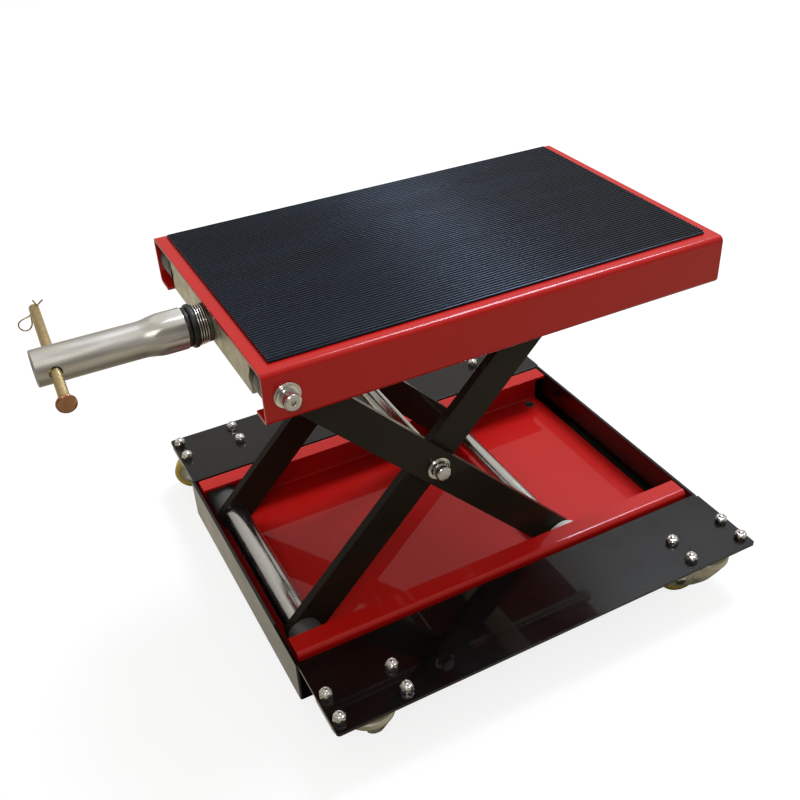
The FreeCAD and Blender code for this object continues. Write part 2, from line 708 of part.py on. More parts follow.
def frame():
    """Angle ring: an upright wall all round with a flat ledge inside its foot."""
    body = body_named("ring_blank")
    nodes.remove(body)
    half_x = "frame_length / 2"
    half_y = "frame_width / 2"
    corners = [
        (f"-{half_x}", f"-{half_y}"),
        (half_x, f"-{half_y}"),
        (half_x, half_y),
        (f"-{half_x}", half_y),
    ]
    blank = pad(body, polygon(body, "Outline", "XY_Plane", corners), "frame_height", both_ways=False)
    round_edges(body, blank, "frame_corner", runs_along(Vector(0, 0, 1)))
    place(body, ("frame_shift_x", "0 * frame_shift_x", "frame_bottom"))

    def clearing(inset, bottom, height):
        size = (f"frame_length - 2 * {inset}", f"frame_width - 2 * {inset}", height)
        return box(size, (f"frame_shift_x - {half_x} + {inset}", f"{inset} - {half_y}", bottom))
    well = clearing("frame_wall", BASE_BOTTOM, "frame_height")
    mouth = clearing("(frame_wall + frame_ledge)", "frame_bottom - 1", "frame_height")
    holes = [cylinder("bolt_radius + side_gap", "ledge_thickness + 2", (x, y, "frame_bottom - 1"))
             for x in ("-screw_x", "screw_x") for y in ("-screw_y", "screw_y")]
    node(cut(body, [well, mouth] + holes, "dolly_frame"), "dolly_frame")


def bolt_places(sign_x, sign_y):
    """The four bolt positions of one caster."""
    return [(f"{sign_x} * caster_x + {dx} * bolt_pitch_x / 2", f"{sign_y} * caster_y + {dy} * bolt_pitch_y / 2")
            for dx in (-1, 1) for dy in (-1, 1)]


def wing(side, sign):
    body = body_named(f"{side}_wing_plate")
    half_x = "wing_length / 2"
    inner = f"{sign} * (frame_width / 2 + running_gap)"
    outer = f"{sign} * wing_outer"
    corners = [(f"-{half_x}", inner), (half_x, inner), (half_x, outer), (f"-{half_x}", outer)]
    blank = pad(body, polygon(body, "Outline", "XY_Plane", corners), "wing_thickness", both_ways=False)
    upright = runs_along(Vector(0, 0, 1))
    middle = (body.Shape.BoundBox.YMin + body.Shape.BoundBox.YMax) / 2
    outer = lambda edge: upright(edge) and sign * (edge.BoundBox.YMin - middle) > 0
    round_edges(body, blank, "wing_corner", outer)
    places = bolt_places(-1, sign) + bolt_places(1, sign)
    drill(body, circles(body, "Bolts", "XY_Plane", places, "bolt_radius + side_gap"))
    place(body, ("0 * wing_length", "0 * wing_length", WING_BOTTOM))


# ---- casters ----

def fasteners():
    """Every caster bolt, head down under the plate, and its locking nut on top of the wing."""
    bolts = []
    nuts = []
    for sign_x in (-1, 1):
        for sign_y in (-1, 1):
            for x, y in bolt_places(sign_x, sign_y):
                head = hexagon("nut_radius", "bolt_head", (x, y, f"{PLATE_BOTTOM} - bolt_head"))
                grip = f"{FRAME_TOP} - {PLATE_BOTTOM} + nut_height + nut_collar + bolt_stud"
                shank = cylinder("bolt_radius", grip, (x, y, PLATE_BOTTOM))
                bolts.append(join([head, shank], "Bolt"))
                flats = hexagon("nut_radius", "nut_height", (x, y, FRAME_TOP))
                collar = cylinder("nut_collar_radius", "nut_height + nut_collar", (x, y, FRAME_TOP))
                hole = cylinder("bolt_radius + running_gap", "nut_height + nut_collar", (x, y, FRAME_TOP))
                nuts.append(cut(join([flats, collar]), [hole], "Nut"))
    node(group(bolts, "caster_bolts"), "caster_bolts")
    node(group(nuts, "caster_nuts"), "caster_nuts")


def caster(corner, sign_x, sign_y):
    """Top plate with its ball race and swivel rivet, and the fork, wheel and axle that swivel under it."""
    x = f"{sign_x} * caster_x"
    y = f"{sign_y} * caster_y"
    swivel = f"{corner}_swivel"
    plate = box(("plate_length", "plate_width", "plate_thickness"),
                (f"{x} - plate_length / 2", f"{y} - plate_width / 2", PLATE_BOTTOM))
    race = cylinder("race_radius", f"{PLATE_BOTTOM} - crown_top - side_gap", (x, y, "crown_top + side_gap"))
    under_crown = "crown_top - crown_thickness - side_gap"
    rivet = cylinder("kingpin_radius", "2 * crown_thickness", (x, y, under_crown))
    button = cylinder("kingpin_radius + rivet_lip", "rivet_head", (x, y, f"{under_crown} - rivet_head"))
    holes = [cylinder("bolt_radius + side_gap", "plate_thickness", place_ + (PLATE_BOTTOM,))
             for place_ in bolt_places(sign_x, sign_y)]
    node(cut(join([plate, race, rivet, button]), holes, f"{corner}_caster_plate"), f"{corner}_caster_plate")
    fork(corner, x, y, swivel)
    hub = (f"{x} + wheel_trail * cos({swivel})", f"{y} + wheel_trail * sin({swivel})", "wheel_radius")
    half = "wheel_width / 2"
    tread = [
        (f"-{half}", "axle_radius + running_gap"),
        (half, "axle_radius + running_gap"),
        (half, "wheel_radius - tread_bevel"),
        (f"{half} - tread_round / 3", "wheel_radius - tread_bevel / 4"),
        (f"{half} - tread_round", "wheel_radius"),
        (f"tread_round - {half}", "wheel_radius"),
        (f"tread_round / 3 - {half}", "wheel_radius - tread_bevel / 4"),
        (f"-{half}", "wheel_radius - tread_bevel"),
    ]
    turned(f"{corner}_caster_wheel", tread, hub, swivel=swivel)
    shoulder = "wheel_width / 2 + fork_gap + fork_sheet + side_gap"
    axle = [
        (shoulder, "axle_radius"),
        (shoulder, "1.6 * axle_radius"),
        (f"{shoulder} + axle_head", "1.6 * axle_radius"),
    ]
    turned(f"{corner}_caster_axle", shaft_outline(axle), hub, swivel=swivel)


def fork(corner, x, y, swivel):
    """Round crown with two tapering legs that reach back to the axle."""
    zero = "0 * wheel_trail"
    crown = cylinder("crown_radius", "crown_thickness", (zero, zero, "crown_top - crown_thickness"))
    below_crown = (zero, zero, "crown_top - 1.5 * crown_thickness")
    eye = cylinder("kingpin_radius + running_gap", "2 * crown_thickness", below_crown)
    crown_middle = "crown_top - crown_thickness / 2"
    profile = [
        ("-crown_radius * 0.85", crown_middle),
        ("crown_radius * 0.85", crown_middle),
        ("wheel_trail + fork_eye", "wheel_radius + fork_eye * 0.7"),
        ("wheel_trail + fork_eye", "wheel_radius - fork_eye * 0.4"),
        ("wheel_trail + fork_eye / 2", "wheel_radius - fork_eye"),
        ("wheel_trail - fork_eye / 2", "wheel_radius - fork_eye * 1.1"),
        ("wheel_trail / 2", "wheel_radius - fork_eye * 1.2"),
        ("0 * wheel_trail", "wheel_radius - fork_eye * 0.8"),
        ("-crown_radius * 0.45", "wheel_radius + fork_eye * 0.4"),
        ("-crown_radius * 0.85", "wheel_radius + fork_eye * 1.9"),
    ]
    legs = []
    for sign in (-1, 1):
        leg = doc.addObject("PartDesign::Body", "Leg")
        pad(leg, polygon(leg, "Outline", "XZ_Plane", profile), "fork_sheet")
        place(leg, (zero, f"{sign} * (wheel_width / 2 + fork_gap + fork_sheet / 2)", zero))
        legs.append(leg)
    through = ("wheel_trail", "-1.5 * wheel_width", "wheel_radius")
    axle_hole = cylinder("axle_radius + running_gap", "3 * wheel_width", through, "Y")
    label = f"{corner}_caster_fork"
    piece = node(cut(join([crown] + legs), [eye, axle_hole], label), label)
    place(piece, (x, y, zero), Vector(0, 0, 1), swivel)


# ---- assembly ----

deck()
for side, sign in SIDES:
    arm(f"inner_arm_{side}", sign, "inner_face", "rest_angle")
    arm(f"outer_arm_{side}", sign, "outer_face", "-rest_angle")
    wing(side, sign)
fixed_base_pivot()
centre_pivot()
base_rollers()
thrust_block()
travelling_nut()
screw_drive()
tommy_bar()
base()
frame()
fasteners()
for corner, sign_x, sign_y in (("front_left", -1, -1), ("front_right", 1, -1),
                               ("rear_left", -1, 1), ("rear_right", 1, 1)):
    caster(corner, sign_x, sign_y)
doc.recompute()

# ---- check and write ----

for thing in doc.Objects:
    if "Invalid" in thing.State or "Error" in thing.State:
        raise RuntimeError(f"{thing.Label} failed to recompute: {thing.State}")
for piece in nodes:
    if piece.Shape.isNull() or not piece.Shape.isValid() or not piece.Shape.Solids:
        raise RuntimeError(f"{piece.Label} has no valid solid")
os.makedirs("parts", exist_ok=True)
for piece in nodes:
    piece.Shape.exportStep(f"parts/{piece.Label}.step")
    bounds = piece.Shape.BoundBox
    low = [round(value, 2) for value in (bounds.XMin, bounds.YMin, bounds.ZMin)]
    high = [round(value, 2) for value in (bounds.XMax, bounds.YMax, bounds.ZMax)]
    print(piece.Label, len(piece.Shape.Solids), "solids", low, high)
print(len(nodes), "nodes")
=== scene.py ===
"""Looks of the screw-driven scissor lift jack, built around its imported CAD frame. Metres, +Z up."""

import json
import math

import bmesh
import bpy
from mathutils import Matrix, Vector


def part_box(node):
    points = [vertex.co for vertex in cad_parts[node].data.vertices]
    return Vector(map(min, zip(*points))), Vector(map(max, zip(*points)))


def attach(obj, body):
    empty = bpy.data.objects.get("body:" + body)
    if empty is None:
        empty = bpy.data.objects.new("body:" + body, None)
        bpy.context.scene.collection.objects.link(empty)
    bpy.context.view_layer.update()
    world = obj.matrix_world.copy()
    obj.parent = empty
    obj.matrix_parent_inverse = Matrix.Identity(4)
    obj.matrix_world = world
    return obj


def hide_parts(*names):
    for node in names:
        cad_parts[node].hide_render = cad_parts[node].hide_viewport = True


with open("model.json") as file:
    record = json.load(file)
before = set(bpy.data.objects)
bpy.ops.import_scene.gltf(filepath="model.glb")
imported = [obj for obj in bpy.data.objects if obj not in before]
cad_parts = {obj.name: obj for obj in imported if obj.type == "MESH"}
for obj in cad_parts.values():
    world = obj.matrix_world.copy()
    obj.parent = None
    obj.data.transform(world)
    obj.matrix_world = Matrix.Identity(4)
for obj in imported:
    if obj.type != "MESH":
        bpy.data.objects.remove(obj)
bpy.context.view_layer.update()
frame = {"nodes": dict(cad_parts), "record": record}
MM = 0.001
AXIS_X, AXIS_Y, AXIS_Z = Vector((1, 0, 0)), Vector((0, 1, 0)), Vector((0, 0, 1))
SIDES = (("front", -1), ("rear", 1))
CORNERS = ("front_left", "front_right", "rear_left", "rear_right")
BODY_OF = {node: body for body, members in frame["record"]["behaviour"]["bodies"].items()
           for node in members}


# ---- places taken from the frame ----

def middle(node):
    low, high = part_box(node)
    return (low + high) / 2


def size(node):
    low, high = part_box(node)
    return high - low


# ---- camera, floor and light ----

FLOOR_SIZE = 18
UNDERLAY_SIZE, UNDERLAY_DEPTH = (0.42, 0.44), 0.004
DOME_RADIUS = 8
# The sky's brightness by height, from straight down at 0 to straight up at 1, and its tint below and
# above the horizon.
SKY_LEVELS = ((0.0, 0.25), (0.15, 0.70), (0.325, 0.90), (0.45, 0.68), (0.525, 0.40), (0.65, 0.52),
              (0.80, 0.70), (1.0, 0.95))
LOWER_TINT, UPPER_TINT = (1.0, 0.92, 0.74), (1.0, 0.965, 0.91)
# The sky's strength in a direction is SKY_STRENGTH plus the direction's dot product with SKY_SLOPE, which
# points behind the jack.
SKY_STRENGTH, SKY_SLOPE = 0.70, (0.25, 0.22, 0)


def make_camera():
    """A tripod camera in front of the jack's left corner, looking down on the deck."""
    camera = bpy.data.objects.new("camera", bpy.data.cameras.new("camera"))
    camera.data.sensor_width = 36
    camera.data.lens = 45.0
    camera.data.shift_x = -0.0294
    camera.data.shift_y = -0.0060
    camera.data.clip_start = 0.05
    azimuth, elevation, roll = math.radians(-27.40), math.radians(34.15), math.radians(-2.12)
    camera.location = Vector((-359.5, -666.4, 675.7)) * MM
    turn = Matrix.Rotation(azimuth, 3, "Z") @ Matrix.Rotation(math.pi / 2 - elevation, 3, "X")
    camera.rotation_euler = (turn @ Matrix.Rotation(roll, 3, "Z")).to_euler()
    bpy.context.scene.collection.objects.link(camera)
    bpy.context.scene.camera = camera


def area_light(name, place, target, width, height, power, tint=(1, 1, 1)):
    light = bpy.data.lights.new(name, "AREA")
    light.shape = "RECTANGLE"
    light.size = width
    light.size_y = height
    light.energy = power
    light.color = tint
    lamp = bpy.data.objects.new(name, light)
    lamp.location = place
    lamp.rotation_euler = (Vector(target) - Vector(place)).to_track_quat("-Z", "Y").to_euler()
    bpy.context.scene.collection.objects.link(lamp)


def make_underlay():
    """A dark patch just below the floor that keeps the lower sky from lighting the jack's underside."""
    bpy.ops.mesh.primitive_plane_add(size=1, location=(0, 0, -UNDERLAY_DEPTH))
    patch = bpy.context.object
    patch.name = "underlay"
    patch.scale = (*UNDERLAY_SIZE, 1)
    material, _ = new_material("underlay", Base_Color=(0.05, 0.045, 0.04, 1), Roughness=1.0)
    patch.data.materials.append(material)
    patch.visible_camera = False


def make_backdrop():
    """A white dome round the stage that only the camera sees; the light comes from the sky beyond it."""
    bpy.ops.mesh.primitive_uv_sphere_add(radius=DOME_RADIUS, segments=64, ring_count=32)
    dome = bpy.context.object
    dome.name = "backdrop"
    material, _ = new_material("backdrop", Base_Color=(0, 0, 0, 1), Specular_IOR_Level=0.0,
                               Emission_Color=(1, 1, 1, 1), Emission_Strength=1.0)
    dome.data.materials.append(material)
    dome.visible_diffuse = False
    dome.visible_glossy = False
    dome.visible_transmission = False
    dome.visible_shadow = False


def make_floor():
    """A pale floor, lit partly from within, that the jack neither reflects nor takes light from."""
    bpy.ops.mesh.primitive_plane_add(size=FLOOR_SIZE)
    floor = bpy.context.object
    floor.name = "floor"
    material, _ = new_material("floor", Base_Color=(0.24, 0.24, 0.24, 1), Roughness=1.0,
                               Specular_IOR_Level=0.0, Emission_Color=(1, 1, 1, 1),
                               Emission_Strength=0.82)
    floor.data.materials.append(material)
    floor.visible_diffuse = False
    floor.visible_glossy = False


def make_sky():
    """A sky that changes with height and is brighter behind the jack than in front."""
    world = bpy.data.worlds.new("sky")
    bpy.context.scene.world = world
    world.use_nodes = True
    tree = world.node_tree
    background = tree.nodes["Background"]
    place = tree.nodes.new("ShaderNodeTexCoord")
    parts = tree.nodes.new("ShaderNodeSeparateXYZ")
    height = tree.nodes.new("ShaderNodeMapRange")
    height.inputs["From Min"].default_value = -1
    ramp = tree.nodes.new("ShaderNodeValToRGB")
    while len(ramp.color_ramp.elements) < len(SKY_LEVELS):
        ramp.color_ramp.elements.new(0.5)
    for element, (position, level) in zip(ramp.color_ramp.elements, SKY_LEVELS):
        element.position = position
        tint = LOWER_TINT if position < 0.5 else UPPER_TINT
        element.color = (*(level * part for part in tint), 1)
    behind = tree.nodes.new("ShaderNodeVectorMath")
    behind.operation = "DOT_PRODUCT"
    behind.inputs[1].default_value = SKY_SLOPE
    strength = tree.nodes.new("ShaderNodeMath")
    strength.inputs[1].default_value = SKY_STRENGTH
    tree.links.new(place.outputs["Generated"], parts.inputs[0])
    tree.links.new(parts.outputs["Z"], height.inputs["Value"])
    tree.links.new(height.outputs["Result"], ramp.inputs["Fac"])
    tree.links.new(ramp.outputs["Color"], background.inputs["Color"])
    tree.links.new(place.outputs["Generated"], behind.inputs[0])
    tree.links.new(behind.outputs["Value"], strength.inputs[0])
    tree.links.new(strength.outputs["Value"], background.inputs["Strength"])


def make_stage():
    """Floor, underlay, backdrop, sky, a cool window beyond the jack and a small fill in front."""
    make_floor()
    make_underlay()
    make_backdrop()
    make_sky()
    area_light("window", (1.18, 0.60, 2.40), (0.0, 0.0, 0.32), 1.0, 1.0, 66, (0.74, 0.85, 1.0))
    area_light("fill", (-0.9, -1.6, 1.9), (0.0, 0.0, 0.15), 0.45, 0.45, 8, (1.0, 0.98, 0.94))
    bpy.context.scene.view_settings.view_transform = "Standard"


# ---- materials ----

MIX_FACTOR, MIX_FIRST, MIX_SECOND, MIX_RESULT = 0, 6, 7, 2    # a Mix node's sockets for colours


def set_inputs(node, values):
    """Set a node's inputs by name, with an underscore for each space."""
    for name, value in values.items():
        node.inputs[name.replace("_", " ")].default_value = value


def new_material(name, **inputs):
    material = bpy.data.materials.new(name)
    material.use_nodes = True
    shader = material.node_tree.nodes["Principled BSDF"]
    set_inputs(shader, inputs)
    return material, shader


class Shade:
    """A material being built: its node tree, with short calls for the textures that surfaces use."""

    def __init__(self, name, colour, metallic=0.0, roughness=0.5, coat=0.0, coat_roughness=0.05):
        self.material, self.shader = new_material(name, Base_Color=(*colour, 1), Metallic=metallic,
                                                  Roughness=roughness, Coat_Weight=coat,
                                                  Coat_Roughness=coat_roughness)
        self.tree = self.material.node_tree
        self.normal = None

    def node(self, kind, **values):
        made = self.tree.nodes.new(kind)
        set_inputs(made, values)
        return made

    def link(self, source, target):
        self.tree.links.new(source, target)

    def noise(self, scale, detail=3.0, stretch=(1, 1, 1)):
        """Noise in the object's own coordinates; scale is in features per metre."""
        place = self.tree.nodes.new("ShaderNodeTexCoord")
        mapping = self.node("ShaderNodeMapping", Scale=stretch)
        texture = self.node("ShaderNodeTexNoise", Scale=scale, Detail=detail)
        self.link(place.outputs["Object"], mapping.inputs["Vector"])
        self.link(mapping.outputs["Vector"], texture.inputs["Vector"])
        return texture.outputs["Fac"]

    def spread(self, source, low, high, start=0.3, stop=0.7):
        """The source's value mapped from start..stop to low..high."""
        ramp = self.node("ShaderNodeMapRange", From_Min=start, From_Max=stop, To_Min=low, To_Max=high)
        self.link(source, ramp.inputs["Value"])
        return ramp.outputs["Result"]

    def tint(self, factor, colour):
        """Mix the base colour towards another where the factor is high."""
        mix = self.tree.nodes.new("ShaderNodeMix")
        mix.data_type = "RGBA"
        target = self.shader.inputs["Base Color"]
        if target.is_linked:
            self.link(target.links[0].from_socket, mix.inputs[MIX_FIRST])
        else:
            mix.inputs[MIX_FIRST].default_value = target.default_value
        mix.inputs[MIX_SECOND].default_value = (*colour, 1)
        self.link(factor, mix.inputs[MIX_FACTOR])
        self.link(mix.outputs[MIX_RESULT], target)
        return self

    def rough(self, source, low, high):
        self.link(self.spread(source, low, high), self.shader.inputs["Roughness"])
        return self

    def bump(self, source, height, strength=1.0):
        """Add relief of a height in metres."""
        relief = self.node("ShaderNodeBump", Strength=strength, Distance=height)
        self.link(source, relief.inputs["Height"])
        if self.normal:
            self.link(self.normal, relief.inputs["Normal"])
        self.normal = relief.outputs["Normal"]
        self.link(self.normal, self.shader.inputs["Normal"])
        return self

    def worn_edges(self, colour, start=0.52, stop=0.6):
        """Another colour where the surface turns a sharp outer corner."""
        geometry = self.tree.nodes.new("ShaderNodeNewGeometry")
        return self.tint(self.spread(geometry.outputs["Pointiness"], 0, 0.8, start, stop), colour)


def red_paint():
    shade = Shade("red_paint", (0.52, 0.007, 0.0045), roughness=0.40, coat=0.5, coat_roughness=0.015)
    shade.shader.inputs["Specular IOR Level"].default_value = 0.1
    shade.tint(shade.spread(shade.noise(9, 4), 0, 0.35), (0.43, 0.0055, 0.0035))
    shade.rough(shade.noise(30, 5), 0.30, 0.46)
    shade.bump(shade.noise(150, 2), 0.00004)
    return shade.material


def black_gloss():
    shade = Shade("black_gloss_paint", (0.0030, 0.0022, 0.0019), roughness=0.30, coat=0.6,
                  coat_roughness=0.02)
    shade.shader.inputs["Specular IOR Level"].default_value = 0.1
    shade.tint(shade.spread(shade.noise(14, 5), 0, 0.6), (0.006, 0.005, 0.0045))
    shade.rough(shade.noise(25, 5), 0.22, 0.36)
    shade.bump(shade.noise(140, 2), 0.00003)
    return shade.material


def black_satin():
    shade = Shade("black_satin_paint", (0.0165, 0.0115, 0.0078), roughness=0.32, coat=0.16,
                  coat_roughness=0.04)
    shade.shader.inputs["Specular IOR Level"].default_value = 0.10
    shade.tint(shade.spread(shade.noise(20, 6), 0, 0.6), (0.024, 0.017, 0.011))
    shade.rough(shade.noise(40, 5), 0.30, 0.46)
    shade.bump(shade.noise(900, 3), 0.00005)
    shade.worn_edges((0.035, 0.030, 0.026), 0.54, 0.62)
    return shade.material


def mat_rubber():
    shade = Shade("mat_rubber", (0.0038, 0.0034, 0.0034), roughness=0.3)
    shade.shader.inputs["Specular IOR Level"].default_value = 0.38
    shade.shader.inputs["Specular Tint"].default_value = (0.56, 0.70, 1.0, 1)
    shade.tint(shade.spread(shade.noise(6, 5), 0, 0.7), (0.0056, 0.0056, 0.0066))
    shade.rough(shade.noise(60, 6, (0.1, 1, 1)), 0.26, 0.42)
    shade.bump(shade.noise(1500, 3), 0.00004)
    return shade.material


def bright_zinc(name="bright_zinc", stretch=(1, 1, 1)):
    shade = Shade(name, (0.80, 0.78, 0.74), metallic=1, roughness=0.2)
    shade.tint(shade.spread(shade.noise(90, 6, stretch), 0, 0.6), (0.62, 0.60, 0.55))
    shade.rough(shade.noise(160, 6, stretch), 0.10, 0.26)
    shade.bump(shade.noise(1200, 3, stretch), 0.00002)
    return shade.material


def drawn_aluminium():
    """Drawn tube: streaks along its length."""
    shade = Shade("drawn_tube", (0.78, 0.75, 0.69), metallic=1, roughness=0.32)
    streaks = shade.noise(260, 6, (0.06, 1, 1))
    shade.tint(shade.spread(streaks, 0, 0.8), (0.46, 0.44, 0.41))
    shade.tint(shade.spread(shade.noise(40, 5), 0, 0.35), (0.60, 0.57, 0.50))
    shade.rough(shade.noise(180, 5, (0.15, 1, 1)), 0.26, 0.46)
    shade.bump(streaks, 0.00004)
    return shade.material


def chromed_steel():
    shade = Shade("chromed_steel", (0.66, 0.65, 0.62), metallic=1, roughness=0.2)
    shade.tint(shade.spread(shade.noise(500, 6), 0, 0.5), (0.56, 0.55, 0.53))
    shade.rough(shade.noise(300, 5, (1, 0.2, 1)), 0.14, 0.3)
    shade.bump(shade.noise(900, 4, (1, 0.5, 1)), 0.00003)
    return shade.material


def yellow_zinc():
    shade = Shade("yellow_zinc", (0.62, 0.47, 0.24), metallic=1, roughness=0.34)
    shade.tint(shade.spread(shade.noise(70, 6), 0, 0.8), (0.55, 0.34, 0.15))
    shade.tint(shade.spread(shade.noise(160, 4), 0, 0.4), (0.45, 0.44, 0.20))
    shade.rough(shade.noise(200, 5), 0.26, 0.46)
    shade.bump(shade.noise(1100, 3), 0.00003)
    return shade.material


def dull_zinc():
    shade = Shade("dull_zinc", (0.62, 0.60, 0.49), metallic=1, roughness=0.42)
    shade.tint(shade.spread(shade.noise(45, 7), 0, 0.7), (0.50, 0.47, 0.36))
    shade.rough(shade.noise(120, 6), 0.34, 0.58)
    shade.bump(shade.noise(700, 5), 0.00005)
    return shade.material


def black_oxide():
    shade = Shade("black_oxide", (0.016, 0.015, 0.014), metallic=0.3, roughness=0.38)
    shade.tint(shade.spread(shade.noise(150, 6), 0, 0.8), (0.035, 0.033, 0.028))
    shade.rough(shade.noise(220, 5), 0.28, 0.5)
    shade.bump(shade.noise(900, 4), 0.00006)
    return shade.material


def moulded(name, colour, other, roughness=0.5):
    """Moulded plastic: fine even texture with faint colour drift."""
    shade = Shade(name, colour, roughness=roughness)
    shade.tint(shade.spread(shade.noise(50, 5), 0, 0.7), other)
    shade.rough(shade.noise(140, 5), roughness - 0.1, roughness + 0.12)
    shade.bump(shade.noise(1300, 3), 0.00004)
    return shade.material


def wheel_tread(name, colour):
    """Cast polyurethane that lets light in."""
    shade = Shade(name, colour, roughness=0.28, coat=0.3)
    shade.shader.inputs["Subsurface Weight"].default_value = 0.5
    shade.shader.inputs["Subsurface Radius"].default_value = (1.0, 0.7, 0.25)
    shade.shader.inputs["Subsurface Scale"].default_value = 0.006
    shade.tint(shade.spread(shade.noise(120, 4), 0, 0.6), tuple(part * 0.78 for part in colour))
    shade.rough(shade.noise(260, 5), 0.22, 0.45)
    shade.bump(shade.noise(600, 4), 0.00008)
    return shade.material


def dark_zinc():
    shade = Shade("dark_zinc", (0.10, 0.095, 0.08), metallic=0.8, roughness=0.4)
    shade.tint(shade.spread(shade.noise(200, 6), 0, 0.8), (0.17, 0.16, 0.13))
    shade.rough(shade.noise(240, 5), 0.3, 0.5)
    shade.bump(shade.noise(900, 4), 0.00005)
    return shade.material


def copper_head():
    shade = Shade("copper_head", (0.42, 0.20, 0.10), metallic=1, roughness=0.3)
    shade.tint(shade.spread(shade.noise(150, 5), 0, 0.8), (0.55, 0.30, 0.17))
    shade.rough(shade.noise(260, 5), 0.22, 0.42)
    shade.bump(shade.noise(900, 3), 0.00004)
    return shade.material


RED = red_paint()
GLOSS_BLACK = black_gloss()
SATIN_BLACK = black_satin()
RUBBER = mat_rubber()
ZINC = bright_zinc()
TUBE = drawn_aluminium()
CHROME = chromed_steel()
YELLOW = yellow_zinc()
DULL = dull_zinc()
OXIDE = black_oxide()
CLIP = bright_zinc("clip_zinc")
SCREW = bright_zinc("screw_steel")
DARK_ZINC = dark_zinc()
COPPER = copper_head()
SPACER = moulded("spacer_plastic", (0.085, 0.082, 0.078), (0.06, 0.058, 0.055), 0.4)
NYLON = moulded("roller_nylon", (0.72, 0.70, 0.64), (0.62, 0.60, 0.54), 0.4)
HUB = moulded("wheel_hub", (0.60, 0.58, 0.52), (0.5, 0.48, 0.42), 0.4)
TREAD = wheel_tread("wheel_tread", (0.40, 0.30, 0.07))
# A lighter copy of the tread colour: painted light on the rear left wheel.
TREAD_PAINTED_LIGHT = wheel_tread("wheel_tread_painted_light", (0.72, 0.52, 0.10))


# ---- mesh tools ----

DRILL_REACH = 0.5    # half a drill's length, well past any piece


def in_metres(outline):
    """Pairs given in millimetres, in metres."""
    return [(first * MM, second * MM) for first, second in outline]


def smooth_shading(mesh, angle):
    """Smooth shading that keeps edges sharp where they turn by more than an angle in degrees."""
    mesh.shade_smooth()
    mesh.set_sharp_from_angle(angle=math.radians(angle))


def piece_from(mesh_maker, name, material, smooth=35):
    """A new object whose mesh a maker fills in."""
    shape = bmesh.new()
    mesh_maker(shape)
    bmesh.ops.recalc_face_normals(shape, faces=shape.faces)
    mesh = bpy.data.meshes.new(name)
    shape.to_mesh(mesh)
    shape.free()
    smooth_shading(mesh, smooth)
    thing = bpy.data.objects.new(name, mesh)
    thing.data.materials.append(material)
    bpy.context.scene.collection.objects.link(thing)
    return thing


def fit(thing, node):
    """The piece rides with a CAD node's body and stands for it; the node is hidden."""
    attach(thing, BODY_OF[node])
    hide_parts(node)
    return thing


def basis(origin, axis, side=None):
    """A frame whose X runs along an axis."""
    along = Vector(axis).normalized()
    across = Vector(side) if side else (AXIS_Z if abs(along.z) < 0.9 else AXIS_X)
    third = along.cross(across).normalized()
    second = third.cross(along)
    return Matrix.Translation(origin) @ Matrix((along, second, third)).transposed().to_4x4()


def skin(shape, rings, closed=False):
    """Faces between successive rings of spots; a ring of one spot is a tip. Closed rings join up end to end."""
    loops = [[shape.verts.new(spot) for spot in ring] for ring in rings]
    pairs = list(zip(loops, loops[1:]))
    if closed:
        pairs.append((loops[-1], loops[0]))
    count = max(len(loop) for loop in loops)
    for first, second in pairs:
        for index in range(count):
            after = (index + 1) % count
            corners = [first[index % len(first)], first[after % len(first)],
                       second[after % len(second)], second[index % len(second)]]
            unique = list(dict.fromkeys(corners))
            if len(unique) > 2:
                shape.faces.new(unique)


def add_lathe(shape, outline, place, segments=48, trim=None):
    """A closed turned solid; outline points are (station along X, radius), from one end to the other.

    A trim gives the radius to use from (station, radius, turn).
    """
    rings = []
    for station, radius in outline:
        if radius < 1e-7:
            rings.append([place @ Vector((station, 0, 0))])
            continue
        ring = []
        for index in range(segments):
            turn = 2 * math.pi * index / segments
            reach = trim(station, radius, turn) if trim else radius
            ring.append(place @ Vector((station, reach * math.cos(turn), reach * math.sin(turn))))
        rings.append(ring)
    skin(shape, rings, closed=len(rings[0]) > 1)


def rounded(outline, radius, steps=3):
    """The outline with each inner corner rounded by an arc of about that radius."""
    points = [Vector((*spot, 0)) for spot in outline]
    result = [outline[0]]
    for before, corner, after in zip(points, points[1:], points[2:]):
        into, out = before - corner, after - corner
        if min(into.length, out.length) < 1e-6 or into.angle(out) > math.radians(178):
            result.append((corner.x, corner.y))
            continue
        reach = min(radius, into.length * 0.45, out.length * 0.45)
        first, last = corner + into.normalized() * reach, corner + out.normalized() * reach
        for index in range(steps + 1):
            t = index / steps
            spot = first * (1 - t) ** 2 + corner * 2 * t * (1 - t) + last * t ** 2
            result.append((spot.x, spot.y))
    result.append(outline[-1])
    return result


def rounded_loop(outline, radius, steps=4):
    """A closed outline with every corner rounded."""
    return rounded([outline[-1]] + list(outline) + [outline[0]], radius, steps)[1:-1]


def lathe(name, outline, origin, axis, material, segments=48, soften=0.0, trim=None):
    """A turned piece; the outline is in millimetres from its origin."""
    metres = in_metres(rounded(outline, soften) if soften else outline)
    place = basis(origin, axis)
    return piece_from(lambda shape: add_lathe(shape, metres, place, segments, trim), name, material)


def ring(near, far, inner, outer):
    """Section of a plain ring, starting and ending inside its bore."""
    return [((near + far) / 2, inner), (near, inner), (near, outer), (far, outer), (far, inner)]


def mirrored(half):
    """A turned outline from its half, which starts in the middle of the bore and runs towards -X."""
    return half + [(-station, radius) for station, radius in half[:0:-1]]


def both_ends(half):
    """A turned outline from its half, which runs towards +X and ends on the axis."""
    return [(-station, radius) for station, radius in reversed(half)] + half


